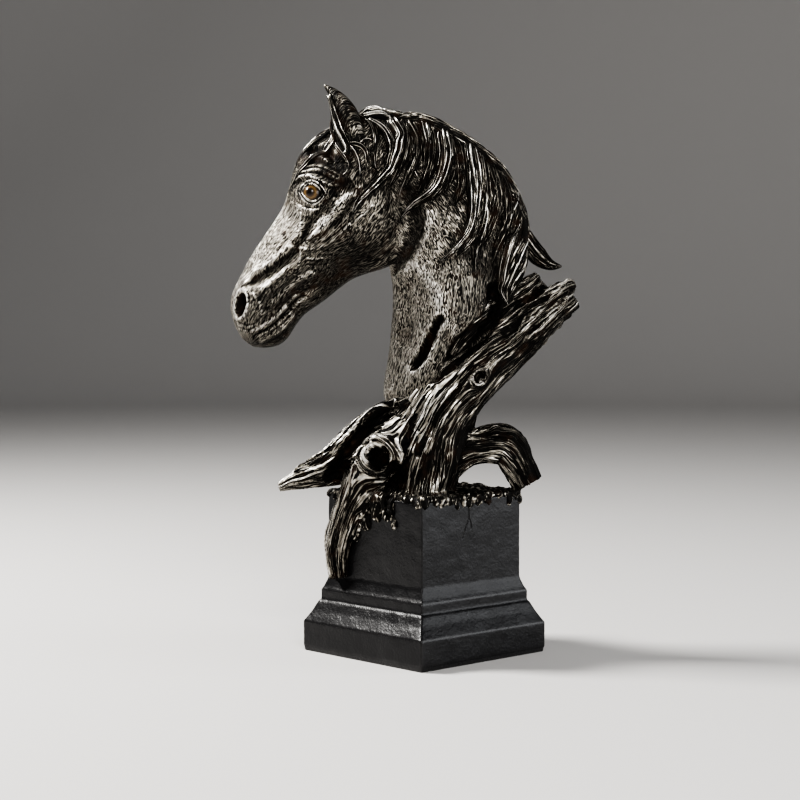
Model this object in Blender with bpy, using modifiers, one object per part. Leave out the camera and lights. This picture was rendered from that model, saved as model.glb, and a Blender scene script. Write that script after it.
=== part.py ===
"""A horse's head and arched neck growing out of driftwood, cast in one piece, on a square moulded plinth.

The casting is modelled in a profile frame, in millimetres: +X runs from the muzzle to the back of the
neck, +Z up from the plinth's top, and -Y is the side that shows. It is built of overlapping lofts, fused,
carved with strokes, and then turned to face along the plinth's diagonal.
"""

import random
from typing import NamedTuple

import bmesh
import bpy
import numpy as np
from mathutils import Matrix, Vector, noise
from mathutils.bvhtree import BVHTree

# Driving dimensions of the plinth, in metres
PLINTH_HEIGHT = 0.083
FOOT_SIDE = 0.0905
FOOT_HEIGHT = 0.0165
FASCIA_SIDE = 0.077
FASCIA_BOTTOM = 0.027
FASCIA_TOP = 0.032
BLOCK_SIDE = 0.0715
BLOCK_BOTTOM = 0.040
PLINTH_EDGE = 0.0008

# Driving dimensions of the casting, in metres, degrees and faces
CASTING_HEIGHT = 0.212
CASTING_TURN = 45.0
SEAT_GAP = 0.0003
VOXEL = 0.0012
CASTING_FACES = 9200

# The casting's points are in millimetres of a casting this tall
MODELLED_HEIGHT = 212.0
UNIT = CASTING_HEIGHT / MODELLED_HEIGHT

# The plinth's block in the casting's own units: half its side, and its depth below the top
HALF_BLOCK = BLOCK_SIDE / 2 / UNIT
DROP = (PLINTH_HEIGHT - BLOCK_BOTTOM) / UNIT

# How the clay is worked: how square a slice's and a limb's corners are, how the grain's flutes run, and
# how finely each kind of form is divided
SLICE_FULLNESS = 0.6
LIMB_FULLNESS = 0.8
SLICE_SIDES = 32
WIDTH_STEPS = 40
HEAD_STEPS = 64
NECK_STEPS = 48
LIMB_STEPS = 44
LOCK_STEPS = 26
LOCK_SIDES = 16
STROKE_STEPS = 16
STROKE_FACING = 1.6
FLUTE_DEPTH = 0.16
FLUTES_ROUND = 2.6
FLUTES_ALONG = 2.2
FLUTE_TWIST = 0.8

# Lumps on the wood: the knuckle of the loop branch, measured from the block's right corner, and the
# splintered tip of the trunk
KNUCKLE = (-5.5, -1.0, 30.0)
KNUCKLE_RADII = (5.4, 7.0, 4.6)
TRUNK_TIP = (75.4, -1.0, 108.0)
TRUNK_TIP_RADII = (3.6, 5.0, 4.4)

# The rubble: how many lumps line the plinth's rim and strew its top, and their sizes
RIM_LUMPS = 110
STREWN_LUMPS = 70
RIM_LUMP_SIZES = (1.5, 3.2)
STREWN_LUMP_SIZES = (2.0, 4.0)
BED_THICKNESS = 3.4
BED_MIDDLE = 0.6
BED_INSET = 0.7

# The tongues of wood on the block's left face: each one's place as a share of half the block's side, how
# low it hangs and how broad it is
DRAPES = ((0.42, 12, 2.6), (0.27, 8, 4), (0.08, 9, 5), (-0.15, 14, 6), (-0.38, 20, 7))
DRAPE_THICKNESS = 3.0

BRONZE = (0.075, 0.062, 0.045, 1.0)
BLACK = (0.018, 0.018, 0.020, 1.0)

NEAR, FAR = -1, 1
CLEAR_OF_SKIN = 60.0
CREST_SHARE = 0.05


class HeadSlice(NamedTuple):
    """A slice across the head: its place along the head, its front and back edges, and four half-widths."""

    along: float
    front: float
    back: float
    nasal: float
    brow: float
    cheek: float
    jaw: float


class NeckSlice(NamedTuple):
    """A slice across the neck, from a throat point to a crest point in profile, and three half-widths."""

    throat: tuple
    crest: tuple
    fore: float
    middle: float
    rear: float


class Limb(NamedTuple):
    """A limb of wood: the points of its middle line, its half-widths in profile, its half-depths, a seed."""

    path: tuple
    widths: tuple
    depths: tuple
    seed: float


class Lock(NamedTuple):
    """A lock of hair: its points in profile, its width and its thickness."""

    path: tuple
    width: float
    thick: float


class Stroke(NamedTuple):
    """A stroke of the modelling tool: its points in profile, its reach, and how far it raises the clay."""

    path: tuple
    reach: float
    rise: float


# The head's own axes: from the poll towards the muzzle, and out of the forehead
HEAD_TOP = np.array((-25.6, 0.0, 179.8))
HEAD_AXIS = np.array((-0.618, 0.0, -0.786))
HEAD_FRONT = np.array((-0.786, 0.0, 0.618))
HEAD_SHARES = (0.06, 0.22, 0.56, 0.86)
HEAD_SLICES = (
    HeadSlice(-15, 12, -14, 6, 8, 8, 6),
    HeadSlice(-6, 19.5, -25, 9, 12, 12.5, 9),
    HeadSlice(4, 22.5, -33, 9.5, 14, 15.5, 11),
    HeadSlice(14, 26.4, -38, 10, 16, 17, 12.5),
    HeadSlice(25, 28, -45, 11, 18, 17.5, 12),
    HeadSlice(34, 26.3, -46.3, 11, 18.8, 18, 11.5),
    HeadSlice(43, 23.2, -43.5, 10, 17, 18, 11),
    HeadSlice(52, 19.6, -37.6, 8.5, 14.2, 16.5, 10.5),
    HeadSlice(60, 18.5, -32.6, 7.8, 11.8, 14, 10),
    HeadSlice(70, 17.6, -29.6, 7.2, 10.4, 11.5, 9.5),
    HeadSlice(80, 17, -27.2, 6.8, 9.6, 10.6, 9),
    HeadSlice(90, 15.6, -24.2, 6.8, 10, 11, 8.5),
    HeadSlice(98, 14, -24, 7.2, 11, 11.2, 8.5),
    HeadSlice(106, 12, -24.6, 7.4, 11.6, 11.2, 8.5),
    HeadSlice(112, 8, -23, 7, 10.6, 10.2, 7.5),
    HeadSlice(117, 1.5, -18.8, 5.4, 8.4, 8.4, 6),
    HeadSlice(120.5, -6, -13.5, 3, 4, 4, 3),
)

NECK_SHARES = (0.1, 0.42, 0.84)
NECK_SLICES = (
    NeckSlice((-34, 167), (-11, 194), 9, 12, 8),
    NeckSlice((-27, 147), (5, 189), 10, 14.5, 9),
    NeckSlice((-20.5, 128), (25, 177.5), 11.5, 16, 10),
    NeckSlice((-17, 112), (41.5, 163), 12.5, 17.5, 10.5),
    NeckSlice((-16.2, 99), (51, 144), 13.5, 18.5, 11),
    NeckSlice((-17.2, 86), (51.5, 119), 14.5, 19.5, 12),
    NeckSlice((-18.8, 71), (45, 93), 15.5, 20, 13),
    NeckSlice((-21.2, 55), (34, 73), 16, 20, 14),
    NeckSlice((-19, 42), (23, 53), 15, 19, 14),
)

EAR_PATH = ((-36.5, 9, 181), (-39, 9.8, 190), (-41.3, 10.3, 198), (-45.8, 9.8, 205.5), (-52, 8.8, 212.2))
EAR_WIDTHS = (7.6, 7.6, 6.6, 4.3, 0.9)
EAR_DEPTHS = (5.5, 5.2, 4.4, 2.8, 0.8)

EYE = (-57.0, 15.4, 156.0)
EYE_RADIUS = 4.7

LOCKS = (
    Lock(((-12, 199), (4, 195), (18, 187), (31, 176), (41, 164)), 8, 2.8),
    Lock(((30, 179), (41, 168), (49, 156), (54, 143), (56, 133)), 8, 3.0),
    Lock(
        ((-30, 197), (-19, 199), (-13, 191), (-10.5, 181), (-13, 171), (-20, 162), (-28, 153), (-35, 145)),
        8,
        3.4,
    ),
    Lock(((-27, 190), (-20, 189), (-18.5, 180), (-21, 172), (-25, 166)), 6, 2.4),
    Lock(((-15, 200), (-8, 195), (-5.5, 182), (-7, 170), (-11, 161), (-13, 153)), 8, 2.6),
    Lock(((-6, 198), (1, 190), (4.5, 180), (2, 171)), 8, 2.6),
    Lock(((1, 195), (9, 184), (12.5, 173), (10, 163), (4, 155), (-4, 149), (-11, 143)), 8.5, 3.2),
    Lock(((12, 189), (20, 178), (25, 165), (25.5, 151), (21, 139), (16, 130), (9, 121)), 10, 3.2),
    Lock(((22, 182), (30, 172), (33, 159), (31.5, 146), (26, 136), (18, 127)), 8, 2.6),
    Lock(((31, 175), (38, 166), (41, 155), (39, 144), (33, 133), (28, 125), (26.5, 118), (29, 112)), 9, 2.8),
    Lock(((40, 166), (46, 155), (46, 141), (42, 130), (40, 119), (40.5, 108), (46, 97)), 9.5, 3.4),
    Lock(((48, 155), (53.5, 144), (54, 132), (51, 121), (47.5, 111), (46, 100)), 8, 3.2),
)
SWEPT_LOCK = Limb(
    ((52, 2, 139), (57, 1, 131), (61.5, 0, 124.5), (66.5, 0, 120.5), (72, 0, 119)),
    (6.5, 6, 4.8, 3, 0.8),
    (5, 4.5, 3.4, 2.2, 0.8),
    6.0,
)
FORELOCK_WIDTH, FORELOCK_THICK = 5.0, 2.2
FORELOCKS = (
    ((-8, -5), (3, -7), (13, -8), (23, -8.5), (33, -6), (44, -3)),
    ((-8, 2), (4, 1), (15, -1), (26, 1), (36, 0)),
    ((-6, -10), (4, -13), (12, -15.5), (20, -16.5)),
)

HEAD_STROKES = (
    Stroke(((-41.5, 189), (-44.5, 197), (-48.8, 205)), 3.0, -2.4),
    Stroke(((-7, 152), (-5, 141), (-7, 131), (-12, 124), (-21, 118.5)), 4.5, -2.2),
    Stroke(((-30, 146), (-23, 137)), 15, 1.6),
    Stroke(((-66, 160), (-62, 164.5), (-55, 165.5), (-48, 164.5), (-43, 169)), 3.6, 1.7),
    Stroke(((-64, 158.5), (-59, 162), (-53, 161.5), (-49, 158)), 2.2, -1.6),
    Stroke(((-63.5, 154), (-61, 158.5), (-56.5, 160.6), (-51.5, 158.5), (-49, 154.5)), 2.0, 1.5),
    Stroke(((-63, 153), (-59, 151), (-54, 151), (-50, 154)), 1.9, 1.1),
    Stroke(((-63, 150), (-57, 147.5), (-50, 149)), 2.6, -1.1),
    Stroke(((-42, 155), (-51, 144), (-60.5, 131.5)), 4.5, 1.5),
    Stroke(((-50, 152), (-58, 142)), 4.0, -1.3),
    Stroke(((-28, 148), (-39.5, 136.5), (-52.5, 127), (-65.5, 127)), 2.2, 1.1),
    Stroke(((-63, 144), (-63.8, 133), (-64.5, 127), (-63.8, 121)), 1.8, 0.9),
    Stroke(((-65.5, 127), (-73.5, 122.5), (-83.5, 116), (-92, 110.5)), 2.6, 1.2),
    Stroke(((-62, 118), (-72, 113), (-82, 106.5)), 5.5, -1.8),
    Stroke(((-87.5, 83.2), (-81.5, 87.2), (-75.5, 91.2), (-67, 101)), 2.0, -2.2),
    Stroke(((-86, 87.5), (-79.5, 92), (-73.5, 97.5)), 3.2, 1.2),
    Stroke(((-84, 80.5), (-78, 84.5), (-72, 91)), 3.4, 1.3),
    Stroke(((-96, 105), (-91.5, 102.5), (-91.2, 97), (-94, 93)), 3.6, 1.1),
    Stroke(((-95.6, 101.8), (-94.8, 97.6)), 3.2, -4.4),
)
NECK_STROKES = (
    Stroke(((8.9, 91), (5, 86), (0.5, 77.6), (-5, 67.5)), 2.4, -5.5),
    Stroke(((-17, 121), (-11, 108), (-7, 92), (-8, 78)), 6.5, -1.4),
    Stroke(((2, 182), (20, 168), (35, 148), (39, 126)), 15, 1.6),
)
WOOD_STROKES = (
    Stroke(((37, 104), (34.5, 92), (24, 83.5), (17, 76), (14.5, 67.5), (8, 62.5), (0, 61.5)), 5.4, -6.0),
    Stroke(((-16, 45), (-25.4, 37), (-38.5, 24), (-45, 14)), 3.8, -4.2),
    Stroke(((-21.5, 22.5), (-21.4, 21.5)), 10.5, 2.4),
    Stroke(((-22, 24), (-21.4, 20.5)), 5.6, -7.5),
    Stroke(((28.8, 62.2), (28.6, 61.2)), 6.5, 2.2),
    Stroke(((28.8, 62.2), (28.6, 61.2)), 3.2, -3.6),
    Stroke(((-14, 13), (-14.5, 4), (-15.5, -5)), 5.0, -5.0),
    Stroke(((3, 24), (8, 38), (17, 51)), 3.4, -2.4),
    Stroke(((-6, 26), (-1, 40), (5, 52)), 3.0, -2.2),
    Stroke(((24, 59), (40, 71), (56, 84), (70, 96)), 3.4, 1.6),
)


def on_plinth(x, y, z=0.0):
    """A point given along the plinth's sides, from the centre of its top, in the profile frame."""
    return Matrix.Rotation(-np.radians(CASTING_TURN), 3, "Z") @ Vector((x, y, z))


def wood_limbs():
    """The driftwood's limbs, the root and the loop branch reaching for two corners of the plinth's block."""
    left = np.array(on_plinth(-HALF_BLOCK, -HALF_BLOCK))
    right = np.array(on_plinth(HALF_BLOCK, HALF_BLOCK))
    trunk = Limb(
        (
            (-6, 0, -4),
            (-3, 0, 12),
            (2, -2, 31),
            (12, -4, 49),
            (27, -4, 63.5),
            (45, -3, 79.5),
            (62, -2, 94),
            (76, 0, 104.5),
        ),
        (20, 20, 20, 18, 15, 13, 10.5, 8),
        (24, 24, 23, 21, 18.5, 14, 10, 7),
        1.0,
    )
    spur = Limb(
        ((16, 1, 70), (33, 2, 87), (48, 3, 101), (61, 3, 112)),
        (13, 13, 9.5, 5),
        (15, 14, 10, 6),
        2.0,
    )
    left_branch = Limb(
        ((-4, -4, 43), (-26, -9, 31), (-44, -10, 16.5), (-60, -9, 9.5), (-75.5, -8, 3.6)),
        (12, 13, 10.5, 6.6, 2.2),
        (15, 12, 9, 6, 2.2),
        3.0,
    )
    root = Limb(
        (
            (-8, -11, 36),
            (-21, -14, 20),
            (-33, -13.5, 3),
            left + (9, -11, -0.38 * DROP),
            left + (5.5, -8.5, -0.72 * DROP),
            left + (6, -7.5, -DROP),
        ),
        (14, 13.5, 10, 7.8, 6.4, 4.8),
        (12, 12, 10, 8, 7, 5.5),
        4.0,
    )
    loop_branch = Limb(
        (
            (2, -2, 12),
            (16, -1, 20.5),
            (29, 0, 25),
            right + (-8.5, 1, 25),
            right + (-1.5, 1, 15.5),
            right + (4.5, 1, 5),
        ),
        (14, 10.5, 9.2, 10.2, 8.6, 8),
        (14, 11, 9, 9.5, 8.6, 7.8),
        5.0,
    )
    return trunk, spur, left_branch, root, loop_branch


def smooth_path(points, count):
    """Points spread along a smooth curve through the given ones, as a Catmull-Rom spline."""
    given = np.asarray(points, float)
    if given.ndim == 1:
        given = given[:, None]
    padded = np.vstack((2 * given[0] - given[1], given, 2 * given[-1] - given[-2]))
    at = np.linspace(0, len(given) - 1, count)
    start = np.minimum(at.astype(int), len(given) - 2)
    t = (at - start)[:, None]
    a, b, c, d = (padded[start + k] for k in range(4))
    cubic = (3 * b - a - 3 * c + d) * t**3 + (2 * a - 5 * b + 4 * c - d) * t**2
    return 0.5 * (cubic + (c - a) * t + 2 * b)


def unit_rows(vectors):
    """Each row's direction, one long."""
    return vectors / np.maximum(np.linalg.norm(vectors, axis=1), 1e-9)[:, None]


def add_loft(bm, rings):
    """A closed skin through rings of equal counts, with a fan of faces over each end."""
    rows = [[bm.verts.new(point) for point in ring] for ring in rings]
    count = len(rows[0])
    for lower, upper in zip(rows, rows[1:]):
        for k in range(count):
            after = (k + 1) % count
            bm.faces.new((lower[k], lower[after], upper[after], upper[k]))
    for row, order in ((rows[0], -1), (rows[-1], 1)):
        middle = bm.verts.new(sum((v.co for v in row), Vector()) / count)
        for k in range(count):
            pair = (row[k], row[(k + 1) % count])[::order]
            bm.faces.new((*pair, middle))


def slice_ring(front, back, shares, widths):
    """A ring symmetric about the profile plane, its half-widths given at shares of the way to the back."""
    knots = smooth_path(list(zip((0.0, *shares, 1.0), (widths[0], *widths, widths[-1]))), WIDTH_STEPS)
    turn = np.linspace(0, np.pi, SLICE_SIDES // 2 + 1)
    share = (1 - np.cos(turn)) / 2
    half_width = np.interp(share, knots[:, 0], knots[:, 1]) * np.sin(turn) ** SLICE_FULLNESS
    middle = np.asarray(front) + share[:, None] * (np.asarray(back) - np.asarray(front))
    sideways = half_width[:, None] * np.array((0.0, 1.0, 0.0))
    return np.vstack((middle - sideways, (middle + sideways)[-2:0:-1]))


def head_rings():
    """The rings of the skull, jaws and muzzle."""
    for along, front, back, *widths in smooth_path(HEAD_SLICES, HEAD_STEPS):
        middle = HEAD_TOP + HEAD_AXIS * along
        yield slice_ring(middle + HEAD_FRONT * front, middle + HEAD_FRONT * back, HEAD_SHARES, widths)


def neck_rings():
    """The rings of the arched neck, from the poll down into the driftwood."""
    rows = [(*s.throat, *s.crest, s.fore, s.middle, s.rear) for s in NECK_SLICES]
    for throat_x, throat_z, crest_x, crest_z, *widths in smooth_path(rows, NECK_STEPS):
        yield slice_ring((throat_x, 0, throat_z), (crest_x, 0, crest_z), NECK_SHARES, widths)


def boxy(share):
    """A sine or cosine, pushed out towards a square's corners."""
    return np.sign(share) * np.abs(share) ** LIMB_FULLNESS


def limb_rings(limb, flutes=FLUTE_DEPTH):
    """Rings about a limb's middle line, with flutes that run along it as weathered grain does."""
    line = smooth_path(limb.path, LIMB_STEPS)
    wide = smooth_path(limb.widths, LIMB_STEPS)
    deep = smooth_path(limb.depths, LIMB_STEPS)
    along = unit_rows(np.gradient(line, axis=0))
    across = unit_rows(np.cross(along, (0.0, 1.0, 0.0)))
    outward = np.cross(across, along)
    for k, share in enumerate(np.linspace(0, 1, LIMB_STEPS)):
        ring = []
        for turn in np.linspace(0, 2 * np.pi, SLICE_SIDES, endpoint=False):
            place = turn + FLUTE_TWIST * share
            spot = Vector((np.cos(place), np.sin(place), 0)) * FLUTES_ROUND
            spot.z = FLUTES_ALONG * share + 3 * limb.seed
            uneven = 1 + flutes * (noise.noise(spot) + 0.6 * noise.noise(2.2 * spot))
            reach = across[k] * wide[k] * boxy(np.cos(turn)) + outward[k] * deep[k] * boxy(np.sin(turn))
            ring.append(line[k] + reach * uneven)
        yield ring


def lock_rings(spots, normals, width, thick):
    """Rings of a tapering lock that lies on the spots, thickest near its root and ending in a point."""
    for _ in range(3):
        spots[1:-1] = (spots[:-2] + 2 * spots[1:-1] + spots[2:]) / 4
        normals[1:-1] = (normals[:-2] + 2 * normals[1:-1] + normals[2:]) / 4
    along = unit_rows(np.gradient(spots, axis=0))
    across = unit_rows(np.cross(along, normals))
    upward = np.cross(across, along)
    share = np.linspace(0, 1, len(spots))
    taper = np.clip(np.minimum(0.7 + 2 * share, 0.06 + 2.1 * (1 - share)), 0, 1)
    turns = np.linspace(0, 2 * np.pi, LOCK_SIDES, endpoint=False)
    for spot, side, up, size in zip(spots, across, upward, taper):
        centre = spot + up * thick * 0.3 * size
        wide = side * width / 2 * size
        tall = up * thick * (0.35 + 0.65 * size)
        yield [centre + wide * np.cos(turn) + tall * np.sin(turn) for turn in turns]


def lay_on(skin, origins, direction):
    """Where rays from the origins meet the skin, or the crest for a ray that misses, and its normals."""
    spots, normals = [], []
    for origin in origins:
        hit, normal, _, _ = skin.ray_cast(Vector(origin), Vector(direction))
        if hit is None:
            x, y, z = origin
            hit, normal, _, _ = skin.find_nearest(Vector((x, CREST_SHARE * y, z)))
        spots.append(hit)
        normals.append(normal)
    return np.array(spots), np.array(normals)


def add_side_lock(bm, skin, lock, side):
    """A lock of the mane on one side of the neck."""
    origins = [(x, side * CLEAR_OF_SKIN, z) for x, z in smooth_path(lock.path, LOCK_STEPS)]
    spots, normals = lay_on(skin, origins, (0, -side, 0))
    add_loft(bm, lock_rings(spots, normals, lock.width, lock.thick))


def add_forelock(bm, skin, path):
    """A lock on the forehead, its points given along and across the head."""
    start = HEAD_TOP + HEAD_FRONT * CLEAR_OF_SKIN
    origins = [start + HEAD_AXIS * s + (0, y, 0) for s, y in smooth_path(path, LOCK_STEPS)]
    spots, normals = lay_on(skin, origins, -HEAD_FRONT)
    add_loft(bm, lock_rings(spots, normals, FORELOCK_WIDTH, FORELOCK_THICK))


def add_lump(bm, centre, radii):
    """A rounded lump."""
    place = Matrix.Translation(centre) @ Matrix.Diagonal((*radii, 1))
    bmesh.ops.create_icosphere(bm, subdivisions=3, radius=1, matrix=place)


def add_rubble(bm):
    """The bed of rubble on the plinth's top, with lumps along its rim that hang over in places."""
    side = 2 * (HALF_BLOCK - BED_INSET)
    turned = Matrix.Rotation(-np.radians(CASTING_TURN), 4, "Z")
    bed = Matrix.Translation((0, 0, BED_MIDDLE)) @ Matrix.Diagonal((side, side, BED_THICKNESS, 1))
    bmesh.ops.create_cube(bm, size=1, matrix=turned @ bed)
    chance = random.Random(7)
    for number in range(RIM_LUMPS):
        size = chance.uniform(*RIM_LUMP_SIZES)
        inset = HALF_BLOCK - size * chance.uniform(0.3, 1.2)
        quarter = Matrix.Rotation(number * np.pi / 2, 3, "Z")
        spot = quarter @ Vector((chance.uniform(-1, 1) * (HALF_BLOCK - 1), -inset, chance.uniform(0.4, 1.6)))
        add_lump(bm, on_plinth(*spot), (size, size, size * chance.uniform(0.6, 1.0)))
    for number in range(STREWN_LUMPS):
        x, y = (chance.uniform(-0.9, 0.9) * HALF_BLOCK for _ in range(2))
        size = chance.uniform(*STREWN_LUMP_SIZES)
        add_lump(bm, on_plinth(x, y, 1.5), (size, size, size * 0.6))


def add_drapes(bm):
    """The tongues of wood that spread from the trunk and the root down the block's left face."""
    for share, fall, breadth in DRAPES:
        for step in np.linspace(0, 1, 5):
            spot = on_plinth(share * HALF_BLOCK, 0.6 - HALF_BLOCK, -fall * step)
            add_lump(bm, spot, (breadth * (1 - 0.35 * step), DRAPE_THICKNESS, 3.5))


def add_knots(bm):
    """The knuckle on the loop branch and the splintered tip of the trunk."""
    corner = on_plinth(HALF_BLOCK, HALF_BLOCK)
    add_lump(bm, corner + Vector(KNUCKLE), KNUCKLE_RADII)
    add_lump(bm, TRUNK_TIP, TRUNK_TIP_RADII)


def skin_tree():
    """A lookup on the skin of the head and neck, for laying the hair on."""
    bm = bmesh.new()
    add_loft(bm, head_rings())
    add_loft(bm, neck_rings())
    bmesh.ops.recalc_face_normals(bm, faces=bm.faces)
    tree = BVHTree.FromBMesh(bm)
    bm.free()
    return tree


def casting_clay():
    """All the overlapping forms of the casting."""
    bm = bmesh.new()
    add_loft(bm, head_rings())
    add_loft(bm, neck_rings())
    for side in (NEAR, FAR):
        ear = Limb([(x, side * y, z) for x, y, z in EAR_PATH], EAR_WIDTHS, EAR_DEPTHS, 0)
        add_loft(bm, limb_rings(ear, flutes=0))
        add_lump(bm, (EYE[0], side * EYE[1], EYE[2]), (EYE_RADIUS,) * 3)
    skin = skin_tree()
    for number, lock in enumerate(LOCKS):
        add_side_lock(bm, skin, lock, NEAR)
        if number % 3 != 1:
            add_side_lock(bm, skin, lock, FAR)
    for path in FORELOCKS:
        add_forelock(bm, skin, path)
    add_loft(bm, limb_rings(SWEPT_LOCK))
    for limb in wood_limbs():
        add_loft(bm, limb_rings(limb))
    add_knots(bm)
    add_rubble(bm)
    add_drapes(bm)
    return bm


def distance_in_profile(points, path):
    """How far each point is from a stroke's line, seen in profile."""
    line = smooth_path(path, STROKE_STEPS)
    flat = points[:, (0, 2)]
    least = np.full(len(points), np.inf)
    for start, end in zip(line, line[1:]):
        run = end - start
        share = np.clip((flat - start) @ run / max(run @ run, 1e-9), 0, 1)
        gap = np.linalg.norm(flat - start - share[:, None] * run, axis=1)
        least = np.minimum(least, gap)
    return least


def carve(points, normals, strokes):
    """Raises or lowers the clay along each stroke, where it faces sideways."""
    facing = np.clip(STROKE_FACING * np.abs(normals[:, 1]), 0, 1)
    for stroke in strokes:
        gap = distance_in_profile(points, stroke.path)
        swell = np.clip(1 - (gap / stroke.reach) ** 2, 0, 1) ** 2
        points = points + normals * (stroke.rise * swell * facing)[:, None]
    return points


def mesh_object(name, bm, collection):
    """The bmesh as a new object, its faces turned outwards."""
    bmesh.ops.recalc_face_normals(bm, faces=bm.faces)
    mesh = bpy.data.meshes.new(name)
    bm.to_mesh(mesh)
    bm.free()
    obj = bpy.data.objects.new(name, mesh)
    collection.objects.link(obj)
    return obj


def fused_mesh(clay):
    """The overlapping forms fused into one skin and carved, in the profile frame's millimetres."""
    block_in = mesh_object("clay", clay, bpy.context.scene.collection)
    remesh = block_in.modifiers.new("fuse", "REMESH")
    remesh.mode = "VOXEL"
    remesh.voxel_size = VOXEL / UNIT
    soften = block_in.modifiers.new("soften", "SMOOTH")
    soften.factor = 0.5
    soften.iterations = 2
    depsgraph = bpy.context.evaluated_depsgraph_get()
    mesh = bpy.data.meshes.new_from_object(block_in.evaluated_get(depsgraph))
    bpy.data.objects.remove(block_in)
    count = len(mesh.vertices)
    points = np.empty(count * 3)
    normals = np.empty(count * 3)
    mesh.vertices.foreach_get("co", points)
    mesh.vertex_normals.foreach_get("vector", normals)
    points = points.reshape(-1, 3)
    normals = normals.reshape(-1, 3)
    points = carve(points, normals, HEAD_STROKES + NECK_STROKES + WOOD_STROKES)
    mesh.vertices.foreach_set("co", (points * UNIT).ravel())
    mesh.update()
    return mesh


def moulding(name, collection, grow=0.0):
    """The plinth's square moulding, turned in four steps, or the same grown by a clearance."""
    profile = (
        (0, PLINTH_HEIGHT + grow),
        (BLOCK_SIDE / 2 + grow, PLINTH_HEIGHT + grow),
        (BLOCK_SIDE / 2 + grow, BLOCK_BOTTOM + grow),
        (FASCIA_SIDE / 2 + grow, FASCIA_TOP + grow),
        (FASCIA_SIDE / 2 + grow, FASCIA_BOTTOM + grow),
        (FOOT_SIDE / 2 + grow, FOOT_HEIGHT + grow),
        (FOOT_SIDE / 2 + grow, 0),
        (0, 0),
    )
    bm = bmesh.new()
    corners = [bm.verts.new((half * np.sqrt(2), 0, z)) for half, z in profile]
    for upper, lower in zip(corners, corners[1:]):
        bm.edges.new((upper, lower))
    mesh = bpy.data.meshes.new(name)
    bm.to_mesh(mesh)
    bm.free()
    obj = bpy.data.objects.new(name, mesh)
    collection.objects.link(obj)
    obj.rotation_euler.z = np.radians(45)
    screw = obj.modifiers.new("turn", "SCREW")
    screw.steps = 4
    screw.render_steps = 4
    screw.use_merge_vertices = True
    screw.merge_threshold = 0.00001
    screw.use_smooth_shade = False
    return obj


def add_plinth(collection):
    """The plinth, with its arrises slightly rounded as a moulded casting's are."""
    plinth = moulding("plinth", collection)
    bevel = plinth.modifiers.new("soft arrises", "BEVEL")
    bevel.width = PLINTH_EDGE
    bevel.segments = 2
    bevel.limit_method = "ANGLE"
    bevel.angle_limit = np.radians(18)
    plinth.data.materials.append(material("satin_black", BLACK, 0.42, 0.0))
    return plinth


def add_casting(collection, cutters):
    """The casting, its clay fused, carved, thinned to few faces and cut to sit on the plinth."""
    casting = bpy.data.objects.new("horse_and_driftwood", fused_mesh(casting_clay()))
    collection.objects.link(casting)
    casting.location.z = PLINTH_HEIGHT
    casting.rotation_euler.z = np.radians(CASTING_TURN)
    thin = casting.modifiers.new("few faces", "DECIMATE")
    thin.ratio = CASTING_FACES / (2 * len(casting.data.polygons))
    seat = moulding("seat_cutter", cutters, SEAT_GAP)
    seat.hide_render = True
    seat.display_type = "WIRE"
    cut = casting.modifiers.new("seat", "BOOLEAN")
    cut.operation = "DIFFERENCE"
    cut.solver = "MANIFOLD"
    cut.object = seat
    casting.data.materials.clear()
    casting.data.materials.append(material("dark_bronze", BRONZE, 0.45, 0.6))
    return casting


def material(name, colour, roughness, metallic):
    """A plain Principled material."""
    made = bpy.data.materials.new(name)
    made.use_nodes = True
    shader = made.node_tree.nodes["Principled BSDF"]
    shader.inputs["Base Color"].default_value = colour
    shader.inputs["Roughness"].default_value = roughness
    shader.inputs["Metallic"].default_value = metallic
    return made


def clear_scene():
    """Removes whatever the file holds."""
    for obj in list(bpy.data.objects):
        bpy.data.objects.remove(obj)


def new_collection(name):
    """A collection in the scene."""
    made = bpy.data.collections.new(name)
    bpy.context.scene.collection.children.link(made)
    return made


def main():
    """Builds the sculpture."""
    clear_scene()
    parts = new_collection("horse_head_sculpture")
    cutters = new_collection("cutters")
    add_plinth(parts)
    add_casting(parts, cutters)


main()
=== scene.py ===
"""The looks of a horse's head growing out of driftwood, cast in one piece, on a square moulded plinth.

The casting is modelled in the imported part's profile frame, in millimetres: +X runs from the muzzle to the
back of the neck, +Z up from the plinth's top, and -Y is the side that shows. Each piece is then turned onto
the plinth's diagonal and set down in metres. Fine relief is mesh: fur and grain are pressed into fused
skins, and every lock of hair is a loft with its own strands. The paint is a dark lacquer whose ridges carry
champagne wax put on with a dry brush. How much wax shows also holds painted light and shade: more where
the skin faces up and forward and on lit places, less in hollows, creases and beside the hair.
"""

from __future__ import annotations

import itertools
import logging
import math
import random
from dataclasses import dataclass, field
from enum import Enum
from typing import Iterable, Iterator, Sequence, Union

import bmesh
import bpy
import numpy as np
from mathutils import Matrix, Vector
from mathutils.bvhtree import BVHTree
from mathutils.kdtree import KDTree


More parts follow.
